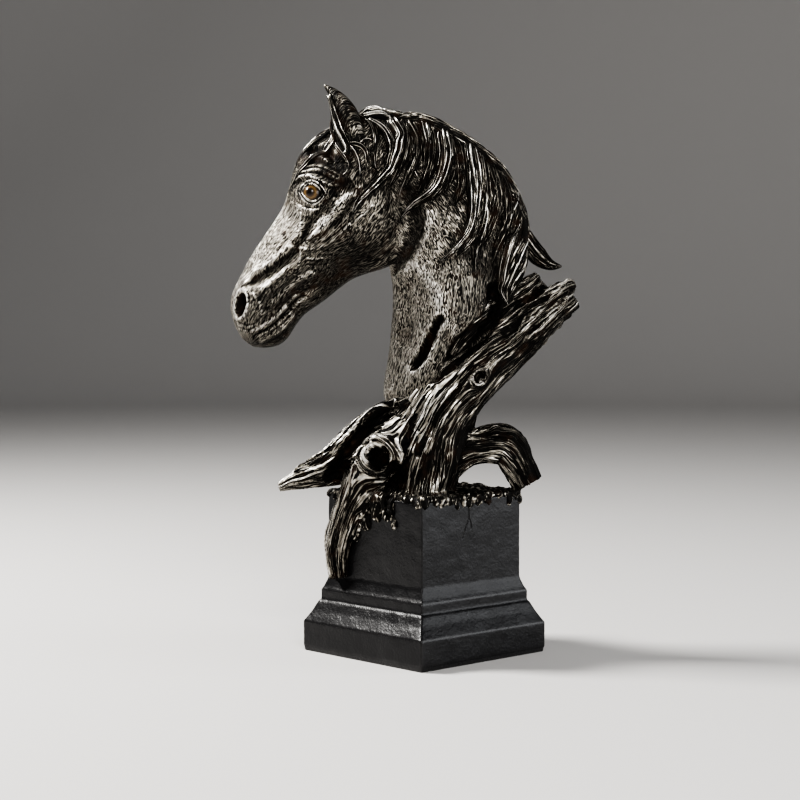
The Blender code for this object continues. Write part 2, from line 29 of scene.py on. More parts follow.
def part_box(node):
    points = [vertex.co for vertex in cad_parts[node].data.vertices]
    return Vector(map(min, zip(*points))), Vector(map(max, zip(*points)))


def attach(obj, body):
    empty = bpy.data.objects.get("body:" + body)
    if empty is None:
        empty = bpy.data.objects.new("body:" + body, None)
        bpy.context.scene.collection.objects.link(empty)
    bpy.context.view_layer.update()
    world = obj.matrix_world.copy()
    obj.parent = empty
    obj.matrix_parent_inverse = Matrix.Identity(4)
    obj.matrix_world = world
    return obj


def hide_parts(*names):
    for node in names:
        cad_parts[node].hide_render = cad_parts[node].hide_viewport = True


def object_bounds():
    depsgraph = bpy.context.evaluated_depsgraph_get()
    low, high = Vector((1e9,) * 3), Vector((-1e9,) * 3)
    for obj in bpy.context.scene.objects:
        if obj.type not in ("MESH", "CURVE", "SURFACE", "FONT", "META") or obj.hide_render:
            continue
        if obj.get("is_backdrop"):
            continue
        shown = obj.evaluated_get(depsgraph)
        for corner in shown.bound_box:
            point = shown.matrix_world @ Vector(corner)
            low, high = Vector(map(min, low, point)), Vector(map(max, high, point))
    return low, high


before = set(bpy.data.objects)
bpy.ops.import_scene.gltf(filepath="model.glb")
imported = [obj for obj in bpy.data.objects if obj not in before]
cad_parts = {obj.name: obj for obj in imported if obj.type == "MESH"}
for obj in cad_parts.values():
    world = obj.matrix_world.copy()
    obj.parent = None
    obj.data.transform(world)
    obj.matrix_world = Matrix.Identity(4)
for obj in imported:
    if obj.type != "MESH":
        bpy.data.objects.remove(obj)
CAD_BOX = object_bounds()

Array = np.ndarray
Path = Sequence[Sequence[float]]
Triple = tuple[float, float, float]

# The frame's own measures, and the casting's place on the plinth
MM = 0.001
PLINTH_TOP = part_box("plinth")[1].z
FOOT_SIDE = (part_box("plinth")[1].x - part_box("plinth")[0].x) / MM
CASTING_TURN = math.radians(45)
BLOCK_SIDE = 71.5
HALF_BLOCK = BLOCK_SIDE / 2
BLOCK_DROP = 43.0
SIDEWAYS = np.array((0.0, 1.0, 0.0))

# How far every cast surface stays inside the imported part's box, in metres
INSIDE_BOX = 5e-5

BODY = "root"
CASTING_NODE = "horse_and_driftwood"
BRONZE_SLOT = "dark_bronze"

log = logging.getLogger("horse_head_sculpture")


class Side(Enum):
    """The two sides of the horse: the one that shows, and the far one."""

    NEAR = -1
    FAR = 1


class Edge(Enum):
    """How a stroke of the modelling tool ends at its sides."""

    ROUND = "round"
    CREASED = "creased"


def smooth_path(points: Path, count: int) -> Array:
    """Spreads points along a smooth curve through the given ones, as a Catmull-Rom spline.

    Args:
        points: The points that the curve passes through, or single values.
        count: How many points to return.

    Returns:
        One row for each point.
    """
    given = np.asarray(points, float)
    if given.ndim == 1:
        given = given[:, None]
    padded = np.vstack((2 * given[0] - given[1], given, 2 * given[-1] - given[-2]))
    at = np.linspace(0, len(given) - 1, count)
    start = np.minimum(at.astype(int), len(given) - 2)
    t = (at - start)[:, None]
    a, b, c, d = (padded[start + k] for k in range(4))
    cubic = (3 * b - a - 3 * c + d) * t**3 + (2 * a - 5 * b + 4 * c - d) * t**2
    return 0.5 * (cubic + (c - a) * t + 2 * b)


def unit_rows(vectors: Array) -> Array:
    """Each row's direction, one long."""
    return vectors / np.maximum(np.linalg.norm(vectors, axis=-1, keepdims=True), 1e-9)


def rise_between(values: Array, low: float, high: float) -> Array:
    """A smooth step from 0 at the low value to 1 at the high one."""
    share = np.clip((values - low) / (high - low), 0, 1)
    return share * share * (3 - 2 * share)


def lengths_along(line: Array) -> Array:
    """How far along a line each of its points lies, straight from point to point."""
    return np.concatenate(((0,), np.cumsum(np.linalg.norm(np.diff(line, axis=0), axis=1))))


def evened(rows: Array, rounds: int) -> Array:
    """Evens rows out along a line, whose two ends stay where they are.

    Args:
        rows: One row for each point of the line.
        rounds: How many times each row is drawn towards its neighbours.

    Returns:
        The evened rows.
    """
    rows = rows.copy()
    for _ in range(rounds):
        rows[1:-1] = (rows[:-2] + 2 * rows[1:-1] + rows[2:]) / 4
    return rows


def brush_and_light(normals: Array, down: float, back: float) -> Array:
    """How much more wax a brush drawn down and back leaves where the skin faces it; the same lift is also
    painted light falling from above and in front.
    """
    return np.clip(down * normals[:, 2] - back * normals[:, 0], -0.7, 0.7)


def lattice_noise(spots: Array, seed: int = 0) -> Array:
    """Smooth gradient noise, about -1 to 1, that is the same each run.

    Args:
        spots: One row of three coordinates for each value, counted in the noise's wavelengths.
        seed: Picks another pattern.

    Returns:
        One value for each row.
    """
    cell = np.floor(spots).astype(np.int64)
    part = spots - cell
    ease = part**3 * (part * (6 * part - 15) + 10)
    total = np.zeros(len(spots))
    for corner in itertools.product((0, 1), repeat=3):
        key = (cell + corner) @ np.array((73856093, 19349663, 83492791)) + seed * 2654435
        key = ((key ^ (key >> 13)) * 60493) & 0x7FFFFFFF
        key = ((key ^ (key >> 11)) * 19990303) & 0x7FFFFFFF
        slopes = np.stack([(key >> shift & 255) / 127.5 - 1 for shift in (3, 11, 19)], axis=1)
        weight = np.prod(np.where(corner, ease, 1 - ease), axis=1)
        total += weight * ((part - corner) * slopes).sum(axis=1)
    return 1.5 * total


def ridged(spots: Array, seed: int = 0) -> Array:
    """Noise folded into sharp ridges, 1 on a ridge and falling to about 0 between them."""
    return 1 - np.clip(np.abs(lattice_noise(spots, seed)) * 2.2, 0, 1)


def on_plinth(x: float, y: float, z: float = 0.0) -> Vector:
    """A point given along the plinth's sides, from the centre of its top, in the profile frame."""
    return Matrix.Rotation(-CASTING_TURN, 3, "Z") @ Vector((x, y, z))


@dataclass(frozen=True)
class Stroke:
    """A stroke of the modelling tool in profile, worked into both sides alike.

    Attributes:
        path: The points of its line, across and up.
        reach: How far from the line it works.
        rise: How far it raises the clay, or lowers it where negative.
        edge: Whether its sides run out softly or form a crease on the line.
        lee: How many times the reach its left side runs out, seen along the line, which makes a ledge.
    """

    path: Path
    reach: float
    rise: float
    edge: Edge = Edge.ROUND
    lee: float = 1.0

    def work(self, points: Array) -> Array:
        """How far the stroke raises each point.

        Args:
            points: One row for each point, in the profile frame.

        Returns:
            The rise at each point.
        """
        flat = points[:, (0, 2)]
        line = smooth_path(self.path, 5 * len(self.path))
        widest = self.reach * max(self.lee, 1.0)
        near = np.all((flat > line.min(0) - widest) & (flat < line.max(0) + widest), axis=1)
        rise = np.zeros(len(points))
        if not near.any():
            return rise
        least = np.full(int(near.sum()), np.inf)
        left = np.zeros(len(least), bool)
        for start, end in zip(line, line[1:]):
            run, reach = end - start, flat[near] - start
            share = np.clip(reach @ run / max(run @ run, 1e-9), 0, 1)
            gap = np.linalg.norm(reach - share[:, None] * run, axis=1)
            closer = gap < least
            least[closer] = gap[closer]
            left[closer] = (run[0] * reach[:, 1] - run[1] * reach[:, 0])[closer] > 0
        gap = np.clip(least / np.where(left, self.reach * self.lee, self.reach), 0, 1)
        if self.edge is Edge.ROUND:
            rise[near] = self.rise * (1 - gap**2) ** 2
        else:
            rise[near] = self.rise * (1 - gap) ** 1.6
        return rise


@dataclass(frozen=True)
class Dish:
    """An oval hollow with a raised rim, such as a nostril or a knothole, on both sides alike.

    Attributes:
        centre: Its middle in profile.
        half_axes: Half its length and half its height.
        tilt: How far its length is turned up from level, in degrees.
        depth: How deep its floor lies.
        rim: How high its rim stands.
        rim_width: The rim's width as a share of the oval's size.
    """

    centre: tuple[float, float]
    half_axes: tuple[float, float]
    tilt: float
    depth: float
    rim: float
    rim_width: float = 0.3

    def share(self, points: Array) -> Array:
        """How far out each point lies.

        Args:
            points: One row for each point, in the profile frame.

        Returns:
            One share for each point, with 1 on the oval itself.
        """
        turn = math.radians(self.tilt)
        x, z = points[:, 0] - self.centre[0], points[:, 2] - self.centre[1]
        along = x * math.cos(turn) + z * math.sin(turn)
        up = z * math.cos(turn) - x * math.sin(turn)
        return np.hypot(along / self.half_axes[0], up / self.half_axes[1])

    def work(self, points: Array) -> Array:
        """How far the dish raises each point.

        Args:
            points: One row for each point, in the profile frame.

        Returns:
            The rise at each point.
        """
        share = self.share(points)
        floor = 1 - rise_between(share, 0.72, 1.06)
        rim = np.clip(1 - np.abs(share - 1 - self.rim_width) / (1.6 * self.rim_width), 0, 1)
        return rim**1.4 * self.rim - floor * self.depth


@dataclass(frozen=True)
class Limb:
    """A limb of wood, or anything else with an oval section along a curved middle line.

    Attributes:
        path: The points of its middle line.
        widths: Its half-widths in profile, spread along it.
        depths: Its half-depths across the profile, spread along it.
        seed: Picks its own pattern of grain.
        flutes: How deep the broad flutes along it are, as a share of its size.
        steps: How many rings it has.
        sides: How many points a ring has.
        fullness: How square its section is; lower is squarer.
    """

    path: Path
    widths: Sequence[float]
    depths: Sequence[float]
    seed: int
    flutes: float = 0.16
    steps: int = 120
    sides: int = 64
    fullness: float = 0.8

    def line(self) -> Array:
        """Its middle line."""
        return smooth_path(self.path, self.steps)

    def girths(self) -> tuple[Array, Array]:
        """Its half-widths and half-depths at each step."""
        return smooth_path(self.widths, self.steps)[:, 0], smooth_path(self.depths, self.steps)[:, 0]

    def axes(self) -> tuple[Array, Array, Array]:
        """The directions along it, across it in profile and out of the profile, at each step."""
        along = unit_rows(np.gradient(self.line(), axis=0))
        across = unit_rows(np.cross(along, SIDEWAYS))
        return along, across, np.cross(across, along)

    def rings(self) -> Iterator[Array]:
        """Its rings, with flutes that run along it as weathered grain does."""
        line, (wide, deep), (_, across, outward) = self.line(), self.girths(), self.axes()
        turn = np.linspace(0, 2 * np.pi, self.sides, endpoint=False)
        for k, share in enumerate(np.linspace(0, 1, self.steps)):
            place = turn + 0.8 * share
            spots = np.stack((2.6 * np.cos(place), 2.6 * np.sin(place), 0 * place + 2.2 * share), axis=1)
            uneven = lattice_noise(spots, self.seed) + 0.6 * lattice_noise(2.2 * spots, self.seed)
            push_x = np.sign(np.cos(turn)) * np.abs(np.cos(turn)) ** self.fullness
            push_y = np.sign(np.sin(turn)) * np.abs(np.sin(turn)) ** self.fullness
            reach = push_x[:, None] * across[k] * wide[k] + push_y[:, None] * outward[k] * deep[k]
            yield line[k] + reach * (1 + self.flutes * uneven)[:, None]

    def locate(self, points: Array) -> tuple[Array, Array, Array]:
        """Where points lie on the limb.

        Args:
            points: One row for each point.

        Returns:
            How far along it each point lies in millimetres, the angle round it, and how many of its own
            radii out from the middle line.
        """
        line, (wide, deep), (along, across, outward) = self.line(), self.girths(), self.axes()
        best = np.full(len(points), np.inf)
        step = np.zeros(len(points), int)
        for k, spot in enumerate(line):
            gap = ((points - spot) ** 2).sum(axis=1)
            closer = gap < best
            best[closer] = gap[closer]
            step[closer] = k
        lengths = lengths_along(line)
        reach = points - line[step]
        a = (reach * across[step]).sum(axis=1) / wide[step]
        b = (reach * outward[step]).sum(axis=1) / deep[step]
        ahead = (reach * along[step]).sum(axis=1)
        past = np.maximum(np.abs(ahead) - 1.0, 0) / wide[step]
        after = np.clip(step + np.where(ahead >= 0, 1, -1), 0, len(line) - 1)
        short = ((points - line[after]) * along[after]).sum(axis=1)
        run = np.where(after == step, 1.0, np.abs(lengths[after] - lengths[step]))
        share = np.where(after == step, ahead, ahead / np.maximum(np.abs(ahead - short), 1e-6))
        return lengths[step] + share * run, np.arctan2(b, a), np.sqrt(a * a + b * b + past * past)


def mesh_from(bm: bmesh.types.BMesh, name: str) -> bpy.types.Mesh:
    """Makes a mesh from a bmesh.

    Args:
        bm: The bmesh, which is freed.
        name: The mesh's name.

    Returns:
        The mesh.
    """
    mesh = bpy.data.meshes.new(name)
    bm.to_mesh(mesh)
    bm.free()
    return mesh


class Clay:
    """Overlapping closed forms that are fused into one skin."""

    def __init__(self) -> None:
        """Starts with no forms."""
        self.bm = bmesh.new()

    def loft(self, rings: Iterable[Array]) -> None:
        """Adds a closed form through rings of equal counts.

        Args:
            rings: The rings, each one row for each point.
        """
        rows = [[self.bm.verts.new(point) for point in ring] for ring in rings]
        count = len(rows[0])
        for lower, upper in zip(rows, rows[1:]):
            for k in range(count):
                after = (k + 1) % count
                self.bm.faces.new((lower[k], lower[after], upper[after], upper[k]))
        for row in (rows[0], rows[-1]):
            middle = self.bm.verts.new(sum((v.co for v in row), Vector()) / count)
            for k in range(count):
                self.bm.faces.new((row[k], row[(k + 1) % count], middle))

    def lump(self, centre: Sequence[float], radii: Sequence[float], subdivisions: int = 3) -> None:
        """Adds a rounded lump.

        Args:
            centre: Its middle.
            radii: Its three radii.
            subdivisions: How finely it is divided.
        """
        place = Matrix.Translation(centre) @ Matrix.Diagonal((*radii, 1))
        bmesh.ops.create_icosphere(self.bm, subdivisions=subdivisions, radius=1, matrix=place)

    def skin(self) -> Skin:
        """The forms as they are, in one skin."""
        bmesh.ops.recalc_face_normals(self.bm, faces=self.bm.faces)
        return Skin(mesh_from(self.bm, "clay"))

    def fused(self, voxel: float, softening: int = 2) -> Skin:
        """Fuses the forms into one skin.

        Args:
            voxel: The size of the cells that the skin is rebuilt with.
            softening: How many rounds the skin is smoothed.

        Returns:
            The fused skin.
        """
        block_in = bpy.data.objects.new("clay", self.skin().mesh)
        bpy.context.scene.collection.objects.link(block_in)
        remesh = block_in.modifiers.new("fuse", "REMESH")
        remesh.mode = "VOXEL"
        remesh.voxel_size = voxel
        soften = block_in.modifiers.new("soften", "SMOOTH")
        soften.iterations = softening
        depsgraph = bpy.context.evaluated_depsgraph_get()
        fused = bpy.data.meshes.new_from_object(block_in.evaluated_get(depsgraph))
        bpy.data.objects.remove(block_in)
        return Skin(fused)


class Skin:
    """A piece's mesh, in the profile frame's millimetres, with its points and normals as arrays."""

    def __init__(self, mesh: bpy.types.Mesh) -> None:
        """Takes over a mesh.

        Args:
            mesh: The mesh, which the skin goes on to change.
        """
        self.mesh = mesh
        self.values: dict[str, Array] = {}
        self.points = np.empty(0)
        self.normals = np.empty(0)
        self._read()

    def _read(self) -> None:
        """Reads the points and normals from the mesh."""
        count = len(self.mesh.vertices)
        self.points = np.empty(count * 3)
        self.normals = np.empty(count * 3)
        self.mesh.vertices.foreach_get("co", self.points)
        self.mesh.vertex_normals.foreach_get("vector", self.normals)
        self.points = self.points.reshape(-1, 3)
        self.normals = self.normals.reshape(-1, 3)

    def move(self, points: Array) -> None:
        """Moves the points, and works out their normals again.

        Args:
            points: The new places, one row for each point.
        """
        self.mesh.vertices.foreach_set("co", points.ravel())
        self.mesh.update()
        self._read()

    def push(self, rise: Array) -> None:
        """Moves each point along its normal by its own rise."""
        self.move(self.points + self.normals * rise[:, None])

    def averaged(self, values: Array, rounds: int) -> Array:
        """Values evened out between neighbouring points.

        Args:
            values: One row for each point.
            rounds: How many times each value takes the mean of its neighbours and itself.

        Returns:
            The evened values.
        """
        edges = np.empty(len(self.mesh.edges) * 2, np.int32)
        self.mesh.edges.foreach_get("vertices", edges)
        first, second = edges.reshape(-1, 2).T
        count = len(self.points)
        shares = 1 + np.bincount(first, minlength=count) + np.bincount(second, minlength=count)
        rows = values.reshape(count, -1).astype(float)
        for _ in range(rounds):
            for column in range(rows.shape[1]):
                own = rows[:, column]
                near = np.bincount(first, own[second], count) + np.bincount(second, own[first], count)
                rows[:, column] = (own + near) / shares
        return rows.reshape(values.shape)

    def proudness(self, rounds: int) -> Array:
        """How far each point stands out from the skin averaged round it, in millimetres."""
        return ((self.points - self.averaged(self.points, rounds)) * self.normals).sum(axis=1)

    def proud_wax_and_hollow_shade(self, near: float, far: float) -> Array:
        """How much more wax each point catches for standing out from what is near, and from farther round;
        where it lies sunk in a hollow, this is painted shade.
        """
        return np.clip(near * self.proudness(6) + far * self.proudness(50), -0.45, 0.16)

    def place(
        self, name: str, material: bpy.types.Material, slot: str, node: str, most: int = 0
    ) -> bpy.types.Object:
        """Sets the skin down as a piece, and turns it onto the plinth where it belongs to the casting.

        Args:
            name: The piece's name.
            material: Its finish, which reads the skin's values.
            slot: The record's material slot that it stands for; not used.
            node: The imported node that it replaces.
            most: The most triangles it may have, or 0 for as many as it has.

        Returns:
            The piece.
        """
        low, high = np.array(CAD_BOX[0]), np.array(CAD_BOX[1])
        if node == CASTING_NODE:
            turn = np.array(Matrix.Rotation(CASTING_TURN, 3, "Z"))
            points = self.points * MM @ turn.T + (0, 0, PLINTH_TOP)
            points = np.clip(points, low + INSIDE_BOX, high - INSIDE_BOX)
        else:
            points = np.clip(self.points * MM, low, high)
        mesh = self.mesh
        mesh.name = name
        mesh.vertices.foreach_set("co", points.ravel())
        for key, rows in self.values.items():
            kind, field_name = ("FLOAT", "value") if rows.ndim == 1 else ("FLOAT_VECTOR", "vector")
            kept = mesh.attributes.new(key, kind, "POINT")
            kept.data.foreach_set(field_name, rows.ravel())
        mesh.materials.clear()
        mesh.materials.append(material)
        mesh.shade_smooth()
        mesh.update()
        piece = bpy.data.objects.new(name, mesh)
        bpy.context.scene.collection.objects.link(piece)
        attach(piece, BODY)
        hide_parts(node)
        if most:
            thin(piece, most)
        return piece


def lookup(skins: Sequence[Skin]) -> BVHTree:
    """Makes a lookup on several skins, for laying hair on them.

    Args:
        skins: The skins.

    Returns:
        The lookup.
    """
    bm = bmesh.new()
    for skin in skins:
        bm.from_mesh(skin.mesh)
    made = BVHTree.FromBMesh(bm)
    bm.free()
    return made


def thin(piece: bpy.types.Object, most: int) -> None:
    """Thins a piece's mesh out where it is flattest.

    Args:
        piece: The piece.
        most: The most triangles it may have.
    """
    triangles = sum(len(face.vertices) - 2 for face in piece.data.polygons)
    if triangles <= most:
        return
    collapse = piece.modifiers.new("thin", "DECIMATE")
    collapse.ratio = most / triangles
    depsgraph = bpy.context.evaluated_depsgraph_get()
    thinned = bpy.data.meshes.new_from_object(piece.evaluated_get(depsgraph))
    piece.modifiers.clear()
    piece.data = thinned
    thinned.name = piece.name


Operand = Union["Wire", float, Sequence[float]]


class Wire:
    """A node's output that can be used in arithmetic, which adds the nodes for it."""

    def __init__(self, bench: Bench, socket: bpy.types.NodeSocket) -> None:
        """Wraps an output.

        Args:
            bench: The node tree that it belongs to.
            socket: The output.
        """
        self.bench = bench
        self.socket = socket

    def _join(self, operation: str, first: Operand, second: Operand) -> Wire:
        """Adds a Math node, or a Vector Math node where this wire carries a vector."""
        kind = "ShaderNodeMath" if self.socket.type == "VALUE" else "ShaderNodeVectorMath"
        return self.bench.node(kind, {"operation": operation}, {0: first, 1: second})

    def __add__(self, other: Operand) -> Wire:
        """This plus the other."""
        return self._join("ADD", self, other)

    def __radd__(self, other: Operand) -> Wire:
        """The other plus this."""
        return self._join("ADD", other, self)

    def __sub__(self, other: Operand) -> Wire:
        """This less the other."""
        return self._join("SUBTRACT", self, other)

    def __rsub__(self, other: Operand) -> Wire:
        """The other less this."""
        return self._join("SUBTRACT", other, self)

    def __mul__(self, other: Operand) -> Wire:
        """This times the other."""
        return self._join("MULTIPLY", self, other)

    def __rmul__(self, other: Operand) -> Wire:
        """The other times this."""
        return self._join("MULTIPLY", other, self)

    def folded(self, steepness: float) -> Wire:
        """Ridges where this passes a half: 1 on a ridge, falling off at a steepness to either side."""
        return 1.0 - self.bench.node("ShaderNodeMath", {"operation": "ABSOLUTE"}, {0: self - 0.5}) * steepness

    def rippled(self, count: float) -> Wire:
        """Even ridges, 0 to 1, one for every two that this times the count rises."""
        return self.bench.node("ShaderNodeMath", {"operation": "PINGPONG"}, {0: self * count, 1: 1.0})

    def at_most(self, limit: float) -> Wire:
        """This, held down to a limit."""
        return self._join("MINIMUM", self, limit)

    def step(self, low: float, high: float) -> Wire:
        """A smooth step from 0 where this is at the low value to 1 at the high one."""
        settings = {"interpolation_type": "SMOOTHSTEP"}
        return self.bench.node("ShaderNodeMapRange", settings, {0: self, 1: low, 2: high})


class Bench:
    """The node tree of one material."""

    def __init__(self, name: str) -> None:
        """Starts a material with only its output and its main shader.

        Args:
            name: The material's name.
        """
        self.material = bpy.data.materials.new(name)
        self.material.use_nodes = True
        self.tree = self.material.node_tree
        self.shader = self.tree.nodes["Principled BSDF"]

    def node(
        self,
        kind: str,
        settings: dict[str, object] | None = None,
        sockets: dict[Union[str, int], Operand] | None = None,
        output: Union[str, int] = 0,
    ) -> Wire:
        """Adds a node.

        Args:
            kind: The node's type.
            settings: Its settings, set first; stops are a ramp's places and colours.
            sockets: The value or the link of each input.
            output: Which of its outputs to return.

        Returns:
            The output.
        """
        made = self.tree.nodes.new(kind)
        for key, value in (settings or {}).items():
            if key == "stops":
                self._set_stops(made.color_ramp, value)
            else:
                setattr(made, key, value)
        for key, value in (sockets or {}).items():
            self.feed(made.inputs[key], value)
        return Wire(self, made.outputs[output])

    @staticmethod
    def _set_stops(ramp: bpy.types.ColorRamp, stops: Sequence[tuple[float, Sequence[float]]]) -> None:
        """Gives a ramp its stops.

        Args:
            ramp: The ramp.
            stops: Each stop's place and colour.
        """
        while len(ramp.elements) < len(stops):
            ramp.elements.new(1.0)
        for element, (place, colour) in zip(ramp.elements, stops):
            element.position = place
            element.color = (*colour, 1.0)

    def feed(self, socket: bpy.types.NodeSocket, value: Operand) -> None:
        """Links a wire to an input, or sets the input's value.

        Args:
            socket: The input.
            value: The wire or the value.
        """
        if isinstance(value, Wire):
            self.tree.links.new(value.socket, socket)
        elif socket.type == "RGBA":
            socket.default_value = (*value, 1.0)
        else:
            socket.default_value = value

    def dress(self, **inputs: Operand) -> bpy.types.Material:
        """Feeds the main shader's inputs.

        Args:
            inputs: The wire or value of each, its name written with _ for a space.

        Returns:
            The material.
        """
        for key, value in inputs.items():
            self.feed(self.shader.inputs[key.replace("_", " ")], value)
        return self.material

    def value(self, name: str) -> Wire:
        """A value kept at the mesh's points."""
        return self.node("ShaderNodeAttribute", {"attribute_name": name}, output="Fac")

    def vector(self, name: str) -> Wire:
        """A vector kept at the mesh's points."""
        return self.node("ShaderNodeAttribute", {"attribute_name": name}, output="Vector")

    def place(self) -> Wire:
        """The place on the object, in metres."""
        return self.node("ShaderNodeTexCoord", output="Object")

    def noise(self, where: Wire, scale: float, detail: float = 2.0, roughness: float = 0.5) -> Wire:
        """Cloudy noise, about 0 to 1, at a scale per unit of the coordinates."""
        sockets = {"Vector": where, "Scale": scale, "Detail": detail, "Roughness": roughness}
        return self.node("ShaderNodeTexNoise", {"noise_dimensions": "3D"}, sockets, "Fac")

    def blend(self, share: Operand, first: Operand, second: Operand) -> Wire:
        """A colour between two, by a share."""
        settings = {"data_type": "RGBA", "blend_type": "MIX"}
        return self.node("ShaderNodeMix", settings, {0: share, 6: first, 7: second}, 2)

    def bump(self, height: Wire, depth: float, strength: float = 1.0) -> Wire:
        """A normal tipped by a height.

        Args:
            height: The height, 0 to 1.
            depth: How deep 0 to 1 is, in metres.
            strength: How much of it shows.

        Returns:
            The normal.
        """
        sockets = {"Strength": strength, "Distance": depth, "Height": height}
        return self.node("ShaderNodeBump", {}, sockets, "Normal")


@dataclass(frozen=True)
class Brushing:
    """How the wax catches on one kind of relief.

    Attributes:
        name: The relief's name.
        even: Whether its fine strokes lie evenly close, as in fur, or singly, as in hair and grain.
        strokes: The size of its fine strokes across, out of and along the flow, in millimetres.
        most: The most that the broad wax counts for, so that bright places keep dark gaps.
        bite: How strongly a fine stroke decides whether the wax catches.
        spread: How softly the wax runs out at a stroke's edge.
        depth: How deep the fine strokes are, in metres.
        roughness: The wax's roughness.
    """

    name: str
    even: bool
    strokes: Triple
    most: float
    bite: float
    spread: float
    depth: float
    roughness: float


FUR = Brushing("fur", True, (0.85, 1.0, 5.6), 0.46, 1.3, 0.28, 0.00018, 0.36)
HAIR = Brushing("hair", False, (0.9, 0.9, 15.0), 0.60, 0.9, 0.11, 0.00018, 0.33)
GRAIN = Brushing("grain", False, (0.90, 0.90, 17.0), 0.50, 1.0, 0.10, 0.00030, 0.38)


@dataclass(frozen=True)
class DryBrushedBronze:
    """A near-black lacquer whose ridges carry champagne wax put on with a dry brush; how much wax shows also
    holds painted light and shade.

    Attributes:
        lacquer: The lacquer's colour.
        umber: The lacquer's colour where it is warmer.
        bronze: The wax where it is thinnest.
        champagne: The wax where it is fuller.
        silver: The wax where it is fullest, which is also where the painted light is strongest.
        threshold: How much has to be caught for the wax to show.
    """

    lacquer: Triple = (0.0045, 0.0038, 0.0032)
    umber: Triple = (0.026, 0.013, 0.007)
    bronze: Triple = (0.105, 0.096, 0.081)
    champagne: Triple = (0.40, 0.372, 0.318)
    silver: Triple = (0.95, 0.92, 0.86)
    threshold: float = 0.40

    def material(self, brushing: Brushing) -> bpy.types.Material:
        """The finish on one kind of relief, which reads how much wax each point catches.

        Args:
            brushing: How the wax catches on it.

        Returns:
            The material.
        """
        bench = Bench(f"dark_bronze_{brushing.name}")
        place = bench.place()
        squeeze = tuple(1 / size for size in brushing.strokes)
        where = bench.vector("flow") * squeeze
        wave = bench.noise(where, 1.0, 1.0, 0.5)
        stroke = wave.rippled(9.0) if brushing.even else wave.folded(7.0)
        patch = bench.noise(place, 95.0, 3.0)
        # The broad wax holds painted light and shade; the ramp below follows it, painting lit places silver
        # and shaded ones bronze.
        broad = bench.value("wax") + patch * 0.16 - 0.08
        caught = broad.at_most(brushing.most) + (stroke - 0.5) * brushing.bite
        stops = ((0.22, self.bronze), (0.46, self.champagne), (0.74, self.silver))
        tone = broad + (stroke - 0.5) * 0.4
        metal = bench.node("ShaderNodeValToRGB", {"stops": stops}, {"Fac": tone}, "Color")
        wax = caught.step(self.threshold - brushing.spread, self.threshold + brushing.spread)
        dark = bench.blend(bench.noise(place, 130.0).step(0.5, 0.75) * 0.8, self.lacquer, self.umber)
        return bench.dress(
            Base_Color=bench.blend(wax, dark, metal),
            Metallic=wax * 0.9,
            Roughness=wax * (brushing.roughness - 0.55) + 0.55 + (patch - 0.5) * 0.12,
            Specular_IOR_Level=0.10,
            Normal=bench.bump(stroke, brushing.depth),
        )


@dataclass(frozen=True)
class SatinBlack:
    """Black resin with a faint cast texture, a little worn and shiny along its arrises."""

    black: Triple = (0.0032, 0.0031, 0.0038)
    worn: Triple = (0.018, 0.0175, 0.018)

    def material(self) -> bpy.types.Material:
        """The finish."""
        bench = Bench("satin_black")
        place = bench.place()
        pebble = bench.noise(place, 620.0, 3.0, 0.6)
        cloud = bench.noise(place, 55.0, 4.0, 0.6)
        rub = (bench.value("worn") + cloud * 0.6).step(0.55, 1.05)
        tone = bench.blend(rub * 0.6 + cloud * 0.2, self.black, self.worn)
        return bench.dress(
            Base_Color=tone,
            Roughness=0.26 + cloud * 0.16 - rub * 0.08,
            Specular_IOR_Level=0.32,
            Normal=bench.bump(pebble + cloud * 1.5, 0.00022, 0.8),
        )


@dataclass(frozen=True)
class AmberGlaze:
    """An eye painted amber under clear gloss, with a dark pupil and rim."""

    def material(self) -> bpy.types.Material:
        """The finish, which reads how far out from the pupil's middle each point lies."""
        bench = Bench("amber_eye")
        rays = bench.noise(bench.vector("flow"), 1.1, 3.0, 0.6)
        stops = (
            (0.0, (0.006, 0.004, 0.003)),
            (0.26, (0.010, 0.006, 0.004)),
            (0.38, (0.045, 0.024, 0.010)),
            (0.58, (0.150, 0.090, 0.032)),
            (0.78, (0.060, 0.034, 0.014)),
            (0.90, (0.008, 0.006, 0.005)),
        )
        out = bench.value("out") + (rays - 0.5) * 0.25
        ramp = bench.node("ShaderNodeValToRGB", {"stops": stops}, {"Fac": out}, "Color")
        return bench.dress(
            Base_Color=ramp,
            Roughness=0.3,
            Specular_IOR_Level=0.2,
            Coat_Weight=0.8,
            Coat_Roughness=0.04,
            Coat_IOR=1.33,
        )


@dataclass(frozen=True)
class PaleFloor:
    """The plain pale floor."""

    tone: Triple = (0.62, 0.61, 0.60)

    def material(self) -> bpy.types.Material:
        """The finish."""
        return Bench("pale_floor").dress(Base_Color=self.tone, Roughness=0.75)


# The head's own frame: its poll, the way down to the muzzle, and the way out of the forehead
HEAD_TOP = np.array((-25.6, 0.0, 179.8))
HEAD_AXIS = np.array((-0.618, 0.0, -0.786))
HEAD_FRONT = np.array((-0.786, 0.0, 0.618))


